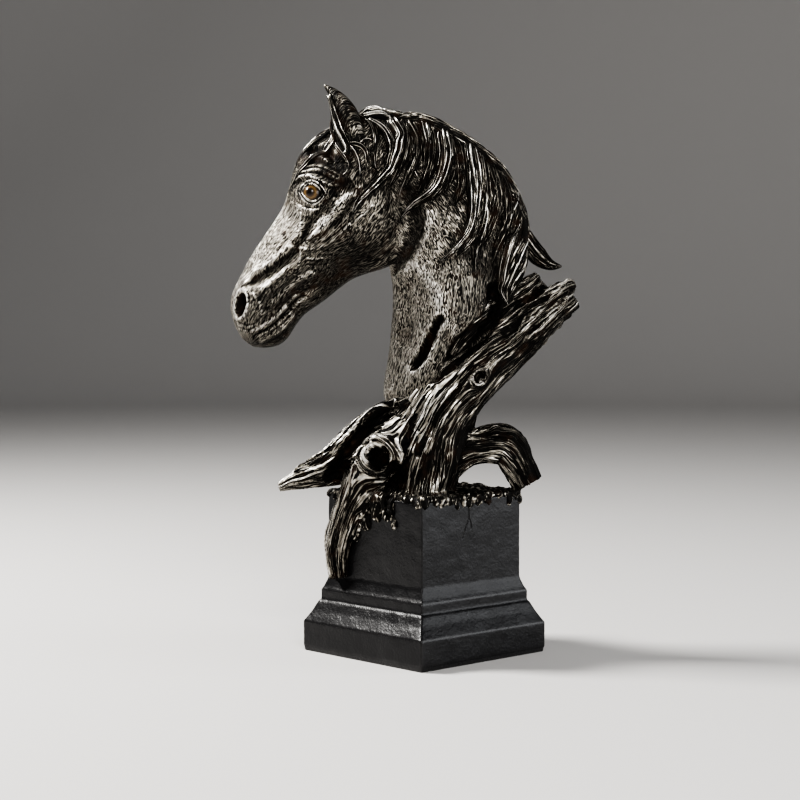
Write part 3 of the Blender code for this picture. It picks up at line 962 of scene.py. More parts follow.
@dataclass(frozen=True)
class Fur:
    """Short fur pressed into a skin, laid out as if the skin were unrolled from its middle line.

    Attributes:
        core: The form's middle line and its mean half-sizes.
        tuft: The size of a tuft across and along, in millimetres.
        height: How high the tufts stand.
    """

    core: Limb
    tuft: tuple[float, float] = (1.2, 4.4)
    height: float = 0.16

    def flow(self, points: Array) -> Array:
        """Each point's place across and along the fur, all halfway through one layer of noise.

        Args:
            points: One row for each point.

        Returns:
            One row for each point, in millimetres.
        """
        along, angle, _ = self.core.locate(points)
        wander = 2.0 * np.stack([lattice_noise(points / 17, seed) for seed in (3, 4)], axis=1)
        girth = float(np.mean(self.core.girths()[0]))
        halfway = np.full(len(points), 0.5)
        return np.column_stack((np.abs(angle) * girth + wander[:, 0], halfway, along + wander[:, 1]))

    def press(self, skin: Skin, rise: Array, smooth: Array) -> None:
        """Presses the fur in, and keeps what the finish reads.

        Args:
            skin: The skin.
            rise: How far the strokes of the tool have raised each point.
            smooth: Where there is no fur, 0 to 1.
        """
        flow = self.flow(skin.points)
        across, along = self.tuft
        tufts = 0.6 * ridged(flow / (across, 1, along), 11)
        tufts += 0.4 * ridged(flow / (0.7 * across, 1, 0.6 * along), 12)
        ripple = lattice_noise(flow / (7, 1, 13), 13)
        ridge_wax_and_hollow_shade = skin.proud_wax_and_hollow_shade(0.40, 0.10)
        skin.push((tufts - 0.5) * self.height * (1 - smooth) + ripple * 0.22 * (1 - smooth))
        # Wax and painted light where the skin faces up and forward, more wax on raised places, and painted
        # shade in carved hollows and where the skin sinks below its surroundings.
        wax = 0.27 + 0.04 * (tufts - 0.5) + 0.44 * brush_and_light(skin.normals, 0.60, 0.33) + 0.04 * ripple
        wax += np.clip(0.10 * rise, -0.55, 0.10) + ridge_wax_and_hollow_shade
        skin.values["flow"] = flow
        skin.values["wax"] = wax - 0.12 * smooth


def painted_light_and_shade(skin: Skin, light_and_shade_washes: Sequence[Stroke]) -> Array:
    """How much fuller or thinner a skin's wax is at each point for its washes, which paint light and shade.
    """
    return sum(wash.work(skin.points) for wash in light_and_shade_washes)


def ragged(points: Array) -> Array:
    """Points shifted a little, which makes a tool's strokes uneven."""
    return points + 0.9 * np.stack([lattice_noise(points / 2.6, seed) for seed in (51, 52, 53)], axis=1)


def slice_ring(front: Array, back: Array, shares: Sequence[float], widths: Sequence[float]) -> Array:
    """A ring symmetric about the profile plane.

    Args:
        front: Its front point.
        back: Its back point.
        shares: The shares of the way back at which its half-widths are given.
        widths: The half-widths.

    Returns:
        One row for each point of the ring.
    """
    knots = smooth_path(list(zip((0.0, *shares, 1.0), (widths[0], *widths, widths[-1]))), 60)
    turn = np.linspace(0, np.pi, 45)
    share = (1 - np.cos(turn)) / 2
    half_width = np.interp(share, knots[:, 0], knots[:, 1]) * np.sin(turn) ** 0.6
    middle = front + share[:, None] * (back - front)
    sideways = half_width[:, None] * SIDEWAYS
    return np.vstack((middle - sideways, (middle + sideways)[-2:0:-1]))


@dataclass
class Carving:
    """A form of the casting, fused into one skin and worked with the modelling tool.

    Attributes:
        name: The name of its piece.
        brushing: How the wax catches on its relief.
        voxel: The size of the cells that the skin is rebuilt with.
        most: The most triangles it may have.
        strokes: What the modelling tool draws on it, in profile.
        light_and_shade_washes: Painted light and shade, laid on as wax fuller or thinner than the form alone
            makes it.
    """

    name: str
    brushing: Brushing
    voxel: float
    most: int
    strokes: tuple[Stroke, ...]
    light_and_shade_washes: tuple[Stroke, ...]
    skin: Skin = field(init=False)

    def fuse(self, clay: Clay) -> Array:
        """Fuses the clay into the skin, and returns how far each point of it faces sideways."""
        self.skin = clay.fused(self.voxel)
        return np.clip(1.6 * np.abs(self.skin.normals[:, 1]), 0, 1)

    def dress(self, paint: DryBrushedBronze) -> bpy.types.Object:
        """Sets the form down with its finish."""
        finish = paint.material(self.brushing)
        return self.skin.place(self.name, finish, BRONZE_SLOT, CASTING_NODE, self.most)


@dataclass
class Head(Carving):
    """The head and the ears: one skin with fur pressed into it.

    Attributes:
        shares: Where the four half-widths lie, as shares of the way from the front edge back.
        slices: Slices across the head: place along it, front and back edge, then the half-widths
            at the nasal bone, brow, cheek and jaw.
        ear_path: The middle line of the near ear, its sideways places given as distances.
        ear_widths: The ear's half-widths in profile, from its root to its tip.
        ear_depths: Its half-depths across the profile.
        ear_groove: The groove that cups its front.
        eye: The middle of the near eyeball, its sideways place given as a distance.
        dishes: The eye's socket and the nostril.
        strokes: The brow, the bones, the veins and the lips, in profile.
    """

    name: str = "head"
    brushing: Brushing = FUR
    voxel: float = 0.50
    most: int = 195_000
    shares: tuple[float, ...] = (0.06, 0.22, 0.56, 0.86)
    slices: Path = (
        (-15, 12, -14, 6, 8, 8, 6),
        (-6, 19.5, -25, 9, 12, 12.5, 9),
        (4, 22.5, -33, 9.5, 14, 15.5, 11),
        (14, 26.4, -38, 10, 16, 17, 12.5),
        (25, 28, -45, 11, 18, 17.5, 12),
        (34, 26.3, -46.3, 11, 18.8, 18, 11.5),
        (43, 23.2, -43.5, 10, 17, 18, 11),
        (52, 19.6, -37.6, 8.5, 14.2, 16.5, 10.5),
        (60, 18.5, -32.6, 7.8, 11.8, 14, 10),
        (70, 17.6, -29.6, 7.2, 10.4, 11.5, 9.5),
        (80, 17, -27.2, 6.8, 9.6, 10.6, 9),
        (90, 15.6, -24.2, 6.8, 10, 11, 8.5),
        (98, 14, -24, 7.2, 11, 11.2, 8.5),
        (106, 12, -24.6, 7.4, 11.6, 11.2, 8.5),
        (112, 8, -23, 7, 10.6, 10.2, 7.5),
        (117, 1.5, -18.8, 5.4, 8.4, 8.4, 6),
        (120.5, -6, -13.5, 3, 4, 4, 3),
    )
    ear_path: Path = (
        (-36.5, 9, 181), (-39, 9.8, 190), (-41.3, 10.3, 198), (-45.8, 9.8, 205.5), (-52, 8.8, 212.2),
    )
    ear_widths: tuple[float, ...] = (7.6, 7.6, 6.6, 4.3, 0.9)
    ear_depths: tuple[float, ...] = (5.5, 5.2, 4.4, 2.8, 0.8)
    ear_groove: Stroke = Stroke(((-40.5, 186), (-44.5, 196), (-48.8, 205), (-51.6, 210.5)), 3.2, -2.4)
    eye: Triple = (-57.2, 15.0, 156.2)
    dishes: tuple[Dish, ...] = (
        Dish((-57.2, 156.2), (6.4, 5.2), 0, 3.2, 0.0, 0.22),
        Dish((-95.2, 98.6), (3.0, 6.4), -12, 5.5, 0.9, 0.22),
    )
    strokes: tuple[Stroke, ...] = (
        Stroke(((-30, 146), (-23, 137)), 15, 1.6),
        Stroke(((-63, 166.5), (-56, 168.5), (-49, 167), (-43.5, 163.5)), 4.6, 1.1),
        Stroke(((-65.5, 163), (-62, 164.6), (-58, 164.4), (-53.4, 162.6), (-48.6, 160), (-44.5, 159.6)),
               1.0, 1.3, lee=2.0),
        Stroke(((-63.5, 166), (-57, 166.6), (-51, 164.8), (-45.5, 162)), 0.9, -1.0, Edge.CREASED),
        Stroke(((-62, 168.4), (-55, 169.2), (-48.8, 167), (-43.6, 164)), 0.9, -0.9, Edge.CREASED),
        Stroke(((-60, 171), (-54, 171.8), (-48, 169.6), (-43, 166.6)), 0.9, -0.7, Edge.CREASED),
        Stroke(((-60, 174), (-54, 175), (-49, 173)), 2.6, 0.9),
        Stroke(((-58, 178), (-51, 178), (-46, 173)), 3.4, -1.5),
        Stroke(((-45, 157), (-42, 160), (-38, 160)), 4.0, -2.0),
        Stroke(((-65, 151.5), (-61.6, 149.2), (-56.6, 148.4), (-51, 150), (-47.6, 153.5)),
               1.1, -0.9, Edge.CREASED),
        Stroke(((-38, 155), (-44.5, 148.5), (-49.5, 141), (-55, 135.5), (-61, 131.5)), 2.4, 1.1, lee=2.4),
        Stroke(((-46, 154), (-51.5, 147), (-57, 142), (-61, 137)), 3.8, -1.3),
        Stroke(((-36, 152), (-42, 143.5), (-50, 136), (-58, 131)), 2.4, -1.0),
        Stroke(((-26, 150), (-33, 143.4), (-39.3, 138.6), (-45.1, 133.1), (-53.7, 128.2), (-63, 127.8),
               (-70, 129)), 0.95, 0.6, lee=1.6),
        Stroke(((-63.4, 146), (-63.2, 141), (-63.2, 135.5), (-64.2, 130.5), (-63.6, 125.4), (-64.4, 119)),
               0.8, 0.6),
        Stroke(((-93, 109.5), (-88, 113.6), (-80, 119), (-72, 125), (-66, 131), (-62, 138)),
               1.2, 0.9, lee=3.6),
        Stroke(((-62, 133), (-69, 124.5), (-78, 117), (-88, 111)), 4.6, -1.5),
        Stroke(((-61, 123), (-56, 122.2), (-52, 122.8)), 0.9, 0.6),
        Stroke(((-60, 119.5), (-54, 119), (-49, 120.5)), 0.9, -0.5, Edge.CREASED),
        Stroke(((-58, 115), (-64, 112), (-71, 106), (-78, 100)), 2.2, 1.0, lee=1.6),
        Stroke(((-57, 108), (-64, 104), (-70, 99)), 2.6, -0.9),
        Stroke(((-70, 118), (-77, 112), (-84, 106.5)), 2.0, 0.9),
        Stroke(((-88, 82.2), (-82, 85.6), (-76.5, 89.4), (-71, 95), (-66, 101), (-62, 103)),
               1.3, -2.4, Edge.CREASED),
        Stroke(((-66, 103.4), (-71.5, 98), (-76.6, 92.6), (-82.5, 88.4), (-88.5, 85.4)), 1.4, 1.0, lee=1.8),
        Stroke(((-84.5, 80.2), (-78, 83), (-72, 88), (-68.5, 93)), 2.2, 1.2),
        Stroke(((-98, 90.6), (-93, 88.4), (-87.5, 89), (-83.6, 93.4), (-81.5, 99)),
               0.85, -0.65, Edge.CREASED),
        Stroke(((-96.5, 87), (-91, 85.8), (-85.6, 87.6), (-81.4, 92)), 0.8, -0.5, Edge.CREASED),
        Stroke(((-88, 104), (-84.5, 99), (-83.6, 94)), 1.5, 0.8),
        Stroke(((-79, 108), (-77.5, 102), (-78.5, 96)), 1.1, -0.6, Edge.CREASED),
    )
    # Painted light and shade, laid on as fuller or thinner wax: shade on the brow, forehead, face, mouth and
    # along the jaw, light round the nostril and below the eye.
    light_and_shade_washes: tuple[Stroke, ...] = (
        Stroke(((-61, 176), (-54, 171), (-44, 165)), 10.0, -0.40),
        Stroke(((-59, 187), (-51, 187)), 8.0, -0.30),
        Stroke(((-97.6, 93), (-98.8, 99), (-97, 106), (-93.4, 105.6), (-91.4, 98.6), (-93.4, 92)), 1.5, 0.30),
        Stroke(((-66, 168), (-68, 160), (-69, 152)), 6.0, -0.12),
        Stroke(((-86, 103), (-78, 103), (-66, 111)), 8.0, -0.12),
        Stroke(((-84, 82), (-76, 85), (-70, 92)), 5.0, -0.10),
        Stroke(((-52, 110), (-38, 121), (-26, 130), (-18, 142)), 9.0, -0.10),
        Stroke(((-56, 146), (-52, 139), (-56, 133)), 6.0, 0.08),
    )

    def core(self) -> Limb:
        """The skull's middle line and mean half-sizes."""
        middles = [HEAD_TOP + HEAD_AXIS * row[0] + HEAD_FRONT * (row[1] + row[2]) / 2 for row in self.slices]
        depths = [max(row[3:]) for row in self.slices]
        return Limb(middles, [(row[1] - row[2]) / 2 for row in self.slices], depths, 0)

    def rings(self) -> Iterator[Array]:
        """The rings of the skull, jaws and muzzle."""
        for along, front, back, *widths in smooth_path(self.slices, 170):
            middle = HEAD_TOP + HEAD_AXIS * along
            yield slice_ring(middle + HEAD_FRONT * front, middle + HEAD_FRONT * back, self.shares, widths)

    def model(self) -> None:
        """Fuses the head and ears, carves them and presses the fur in."""
        clay = Clay()
        clay.loft(self.rings())
        for side in Side:
            path = [(x, side.value * y, z) for x, y, z in self.ear_path]
            clay.loft(Limb(path, self.ear_widths, self.ear_depths, 0, flutes=0).rings())
        facing = self.fuse(clay)
        skin = self.skin
        off_middle = rise_between(np.abs(skin.points[:, 1]), 1.5, 4.0)
        rise = sum(stroke.work(skin.points) for stroke in self.strokes)
        for dish in self.dishes:
            rise = rise + dish.work(skin.points) * off_middle
        rise = rise * facing
        skin.push(rise)
        forward = np.clip(-1.5 * skin.normals[:, 0] - 0.2, 0, 1)
        cupped = self.ear_groove.work(skin.points) * forward
        skin.push(cupped)
        on_ear = rise_between(skin.points[:, 2] - 0.5 * np.maximum(skin.points[:, 0] + 38, 0), 188, 193)
        Fur(self.core()).press(skin, rise + cupped, 0.8 * on_ear)
        # Painted highlight along the ear's rim where it faces forward, and painted light and shade from the
        # washes.
        rim = on_ear * np.clip(-skin.normals[:, 0] * 0.7 + 0.1, 0, 1) * (cupped > -0.5)
        skin.values["wax"] = skin.values["wax"] - 0.16 * on_ear + 0.45 * rim + painted_light_and_shade(skin, self.light_and_shade_washes)
        # Painted shade in the eye's socket and in the nostril.
        for dish, fade in zip(self.dishes, (1.45, 1.1)):
            share = dish.share(skin.points)
            skin.values["wax"] = skin.values["wax"] - 0.5 * off_middle * (1 - rise_between(share, 0.85, fade))


@dataclass
class Neck(Carving):
    """The arched neck, from the poll down into the driftwood.

    Attributes:
        shares: Where the three half-widths lie, from throat to crest.
        slices: Slices across the neck: throat and crest in profile, then the half-widths.
        strokes: The hollows, the muscles and the slit, in profile.
    """

    name: str = "neck"
    brushing: Brushing = FUR
    voxel: float = 0.60
    most: int = 150_000
    shares: tuple[float, ...] = (0.1, 0.42, 0.84)
    slices: Path = (
        (-34, 167, -11, 194, 9, 12, 8),
        (-27, 147, 5, 189, 10, 14.5, 9),
        (-20.5, 128, 25, 177.5, 11.5, 16, 10),
        (-17, 112, 41.5, 163, 12.5, 17.5, 10.5),
        (-16.2, 99, 51, 144, 13.5, 18.5, 11),
        (-17.2, 86, 51.5, 119, 14.5, 19.5, 12),
        (-18.8, 71, 45, 93, 15.5, 20, 13),
        (-21.2, 55, 34, 73, 16, 20, 14),
        (-19, 44, 24, 55, 15, 18, 13),
    )
    strokes: tuple[Stroke, ...] = (
        Stroke(((-6, 156), (-3, 143), (-5, 132), (-10, 124), (-19, 117)), 6.0, -2.6),
        Stroke(((3, 146), (0.5, 136), (-4, 126), (-10, 116)), 2.6, 0.6, lee=2.4),
        Stroke(((8.6, 91.2), (6.0, 87), (2.4, 79), (-1.2, 72), (-4.8, 67.4)), 3.2, -5.8),
        Stroke(((-16, 121), (-10.5, 108), (-8, 94), (-9.5, 80)), 6.5, -0.7),
        Stroke(((-3, 118), (6, 106), (9, 94)), 5.0, 0.9),
        Stroke(((12, 88), (22, 78), (30, 84)), 5.0, 0.8),
        Stroke(((2, 182), (20, 168), (35, 148), (39, 126)), 15, 1.6),
        Stroke(((37, 106), (35.5, 94), (27, 85), (18.5, 77), (15.5, 67.5)), 5.4, -6.0),
    )
    # Painted light and shade, laid on as fuller or thinner wax: shade down the throat, under the mane and
    # deep in the slit, light down the middle of the neck.
    light_and_shade_washes: tuple[Stroke, ...] = (
        Stroke(((-15, 112), (-16, 98), (-17, 84)), 7.0, -0.06),
        Stroke(((2, 124), (6, 110), (12, 98)), 9.0, 0.06),
        Stroke(((28, 132), (34, 112), (33, 96)), 9.0, -0.12),
        Stroke(((42, 110), (38, 96), (29, 85), (20, 77), (15, 68)), 6.0, -0.90),
    )

    def core(self) -> Limb:
        """The neck's middle line and mean half-sizes."""
        middles = [((row[0] + row[2]) / 2, 0, (row[1] + row[3]) / 2) for row in self.slices]
        halves = [math.dist(row[:2], row[2:4]) / 2 for row in self.slices]
        return Limb(middles, halves, [max(row[4:]) for row in self.slices], 0)

    def rings(self) -> Iterator[Array]:
        """The rings of the neck."""
        for throat_x, throat_z, crest_x, crest_z, *widths in smooth_path(self.slices, 130):
            throat, crest = np.array((throat_x, 0, throat_z)), np.array((crest_x, 0, crest_z))
            yield slice_ring(throat, crest, self.shares, widths)

    def model(self) -> None:
        """Models the neck, carves it and presses the fur in."""
        clay = Clay()
        clay.loft(self.rings())
        facing = self.fuse(clay)
        skin = self.skin
        rise = sum(stroke.work(ragged(skin.points)) for stroke in self.strokes) * facing
        skin.push(rise)
        Fur(self.core()).press(skin, rise, np.zeros(len(skin.points)))
        skin.values["wax"] = skin.values["wax"] + painted_light_and_shade(skin, self.light_and_shade_washes)


@dataclass(frozen=True)
class Lid:
    """A lid's edge, or a fold beside it.

    Attributes:
        half_axes: Half its length, and its height over the eye's middle; negative for a lower lid.
        thick: Its half-thickness in the middle.
        wax: How much wax it catches.
    """

    half_axes: tuple[float, float]
    thick: float
    wax: float


@dataclass
class Eye:
    """A glossy eyeball in its lids.

    Attributes:
        side: The side of the head.
        centre: The eyeball's middle, its sideways place given as a distance.
        tree: A lookup on the head's skin.
        radius: The eyeball's radius.
        lids: The lids' edges and the folds round them.
    """

    side: Side
    centre: Triple
    tree: BVHTree
    radius: float = 5.0
    lids: tuple[Lid, ...] = (
        Lid((5.4, 4.5), 0.70, 0.45),
        Lid((5.4, -4.4), 0.60, 0.60),
        Lid((7.4, 6.3), 0.55, 0.55),
        Lid((7.0, -6.1), 0.50, 0.60),
    )

    def place(self) -> Array:
        """The eyeball's middle."""
        return np.array(self.centre) * (1, self.side.value, 1)

    def ball(self) -> bpy.types.Object:
        """Makes the eyeball, its pupil's middle facing out and a little forward."""
        bm = bmesh.new()
        bmesh.ops.create_uvsphere(bm, u_segments=48, v_segments=32, radius=self.radius)
        skin = Skin(mesh_from(bm, "eye"))
        gaze = unit_rows(np.array((-0.16, self.side.value, 0.02)))
        out = np.linalg.norm(unit_rows(skin.points) - gaze, axis=1)
        skin.push(0.4 * (1 - rise_between(out, 0.25, 0.8)))
        skin.values["out"] = out
        skin.values["flow"] = skin.points.copy()
        skin.move(skin.points + self.place())
        finish = AmberGlaze().material()
        return skin.place(f"eyeball_{self.side.name.lower()}", finish, "amber_eye", CASTING_NODE)

    def _line(self, lid: Lid) -> Array:
        """A lid's middle line, on the eyeball or on the skin round it, whichever stands out further.

        Args:
            lid: The lid.

        Returns:
            One row for each point.
        """
        share = np.linspace(-1, 1, 21)
        along = lid.half_axes[0] * share
        up = lid.half_axes[1] * (1 - np.abs(share) ** 1.8) ** 0.8 - 0.6 * share
        rows = []
        for x, z in zip(along, up):
            start = self.place() + (x, self.side.value * 30, z)
            hit, *_ = self.tree.ray_cast(Vector(start), Vector((0, -self.side.value, 0)))
            ball = math.sqrt(max((self.radius + 0.2) ** 2 - x * x - z * z, 0))
            rows.append((start[0], self.side.value * max(self.centre[1] + ball, abs(hit.y)), start[2]))
        return np.array(rows)

    def rims(self, paint: DryBrushedBronze) -> bpy.types.Object:
        """Makes the lids and the folds round them.

        Args:
            paint: The finish.

        Returns:
            The piece.
        """
        clay = Clay()
        waxes = []
        for lid in self.lids:
            line = evened(self._line(lid), 2)
            girth = lid.thick * np.array((0.25, 0.8, 1.0, 0.8, 0.25))
            tube = Limb(line.tolist(), girth, girth, 0, flutes=0, steps=60, sides=14)
            clay.loft(tube.rings())
            waxes.append(np.full(tube.steps * tube.sides + 2, lid.wax))
        skin = clay.skin()
        skin.values["flow"] = skin.points.copy()
        # Each lid's own wax, with more wax and painted light where it faces up and forward.
        skin.values["wax"] = np.concatenate(waxes) + 0.3 * brush_and_light(skin.normals, 0.45, 0.45)
        name = f"eyelids_{self.side.name.lower()}"
        return skin.place(name, paint.material(HAIR), BRONZE_SLOT, CASTING_NODE)


@dataclass(frozen=True)
class Lock:
    """A lock of hair.

    Attributes:
        path: Its points, in profile.
        width: Its width.
        thick: How far it stands out.
        strands: How many strands it shows across.
        gild: How much wax its strands catch, 0 to 1.
        root: How full it is where it starts, as a share of its size.
        lift: How far its middle is lifted off the skin.
    """

    path: Path
    width: float
    thick: float
    strands: int = 5
    gild: float = 1.0
    root: float = 0.6
    lift: float = 0.0


def underlayer(*points: Sequence[float]) -> Lock:
    """A broad, dark lock that starts full on the crest and lies under the others."""
    return Lock(points, 9.5, 3.2, 8, 0.34, 0.9)


class Tresses:
    """Lofts of hair gathered in one mesh, each with its own strands.

    Attributes:
        under: How many points a ring has on its underside.
    """

    under = 5

    def __init__(self) -> None:
        """Starts with no hair."""
        self.points: list[Array] = []
        self.flow: list[Array] = []
        self.wax: list[Array] = []
        self.faces: list[tuple[int, ...]] = []
        self.spots: list[tuple[Array, Array]] = []
        self.count = 0

    def _turns(self, width: float) -> Array:
        """The angles round a lock, close together over its top and wide apart beneath."""
        top = np.linspace(0, np.pi, int(np.clip(8 + 4.6 * width, 14, 46)))
        return np.concatenate((top, np.linspace(np.pi, 2 * np.pi, self.under + 2)[1:-1]))

    def add(self, spots: Array, normals: Array, lock: Lock, seed: int) -> None:
        """Adds a lock.

        Args:
            spots: The points of its middle line.
            normals: The way out of the skin at each.
            lock: Its sizes.
            seed: Picks its own strands.
        """
        spots, normals = evened(spots, 6), evened(normals, 6)
        along = unit_rows(np.gradient(spots, axis=0))
        across = unit_rows(np.cross(along, normals))
        upward = np.cross(across, along)
        share = np.linspace(0, 1, len(spots))
        length = lengths_along(spots)
        taper = np.clip(np.minimum(lock.root + 1.8 * share, 0.04 + 1.5 * (1 - share) ** 0.75), 0, 1)
        turns = self._turns(lock.width)
        v, top = np.cos(turns), np.sin(turns)
        grid_v = np.tile(v, (len(spots), 1))
        grid_s = np.tile(length[:, None], (1, len(v)))
        where = np.stack((1.4 * grid_v, 0 * grid_v, grid_s / 21), axis=2).reshape(-1, 3)
        drift = lattice_noise(where, seed).reshape(grid_v.shape)
        phase = (grid_v * 0.5 + 0.5) * lock.strands + 0.8 * drift + 0.37 * seed
        strand = 1 - (2 * (phase % 1.0) - 1) ** 2
        heft = 0.76 + 0.24 * np.sin(np.floor(phase) * 2.4 + seed + grid_s / 17)
        hair = 1 - (2 * ((3 * phase + 1.5 * drift) % 1.0) - 1) ** 2
        ridge = (0.86 * strand + 0.14 * hair) * heft
        envelope = np.clip(top, 0, 1) ** 0.62
        height = np.where(top >= 0, envelope * (0.45 + 0.55 * ridge), 0.35 * top) * taper[:, None]
        lift = lock.lift * np.sin(np.pi * np.clip(share * 1.1, 0, 1)) ** 2
        wide = lock.width / 2 * taper
        rows = spots[:, None] + across[:, None] * (wide[:, None] * v)[..., None]
        rows = rows + upward[:, None] * (height * lock.thick + lift[:, None])[..., None]
        flow = np.stack((grid_v * wide[:, None] + 37.0 * seed, height * lock.thick, grid_s), axis=2)
        wax = lock.gild * 0.92 * rise_between(ridge * envelope**0.6, 0.42, 0.90) - 0.05
        self._sew(rows, flow, np.where(top >= 0, wax, 0))
        self.spots.append((spots, wide))

    def _sew(self, rows: Array, flow: Array, wax: Array) -> None:
        """Joins rows of points into a closed form with a fan over each end.

        Args:
            rows: The points, by row and by place round it.
            flow: Where each lies along the strands.
            wax: How much wax each catches.
        """
        steps, sides = rows.shape[:2]
        first = self.count
        for k, j in itertools.product(range(steps - 1), range(sides)):
            here, after = first + k * sides + j, first + k * sides + (j + 1) % sides
            self.faces.append((here, after, after + sides, here + sides))
        for ring, middle in ((0, first + steps * sides), (steps - 1, first + steps * sides + 1)):
            for j in range(sides):
                pair = (first + ring * sides + j, first + ring * sides + (j + 1) % sides)
                self.faces.append((*(pair[::-1] if ring == 0 else pair), middle))
        for store, grid in ((self.points, rows), (self.flow, flow)):
            store.extend((grid.reshape(-1, 3), grid[0].mean(axis=0)[None], grid[-1].mean(axis=0)[None]))
        self.wax.extend((wax.ravel(), np.zeros(2)))
        self.count += steps * sides + 2

    def skin(self) -> Skin:
        """All the hair as one skin."""
        mesh = bpy.data.meshes.new("hair")
        mesh.from_pydata(np.concatenate(self.points).tolist(), [], self.faces)
        bm = bmesh.new()
        bm.from_mesh(mesh)
        bmesh.ops.recalc_face_normals(bm, faces=bm.faces)
        bm.to_mesh(mesh)
        bm.free()
        made = Skin(mesh)
        made.values["flow"] = np.concatenate(self.flow)
        # More wax and painted light where the hair faces up and forward.
        made.values["wax"] = np.concatenate(self.wax) + 0.30 * brush_and_light(made.normals, 0.6, 0.4)
        return made

    def shade(self, skin: Skin) -> None:
        """Paints shade on a skin, as thinner wax, where the hair lies on it or close by.

        Args:
            skin: The skin.
        """
        count = sum(len(spots) for spots, _ in self.spots)
        tree = KDTree(count)
        reach = np.concatenate([wide for _, wide in self.spots])
        for number, spot in enumerate(np.concatenate([spots for spots, _ in self.spots])):
            tree.insert(spot, number)
        tree.balance()
        gap = np.empty(len(skin.points))
        for number, point in enumerate(skin.points):
            _, nearest, distance = tree.find(point)
            gap[number] = distance - reach[nearest]
        # Painted shade on the skin under and beside the hair.
        skin.values["wax"] = skin.values["wax"] - 0.22 * (1 - rise_between(gap, 0.3, 4.5))


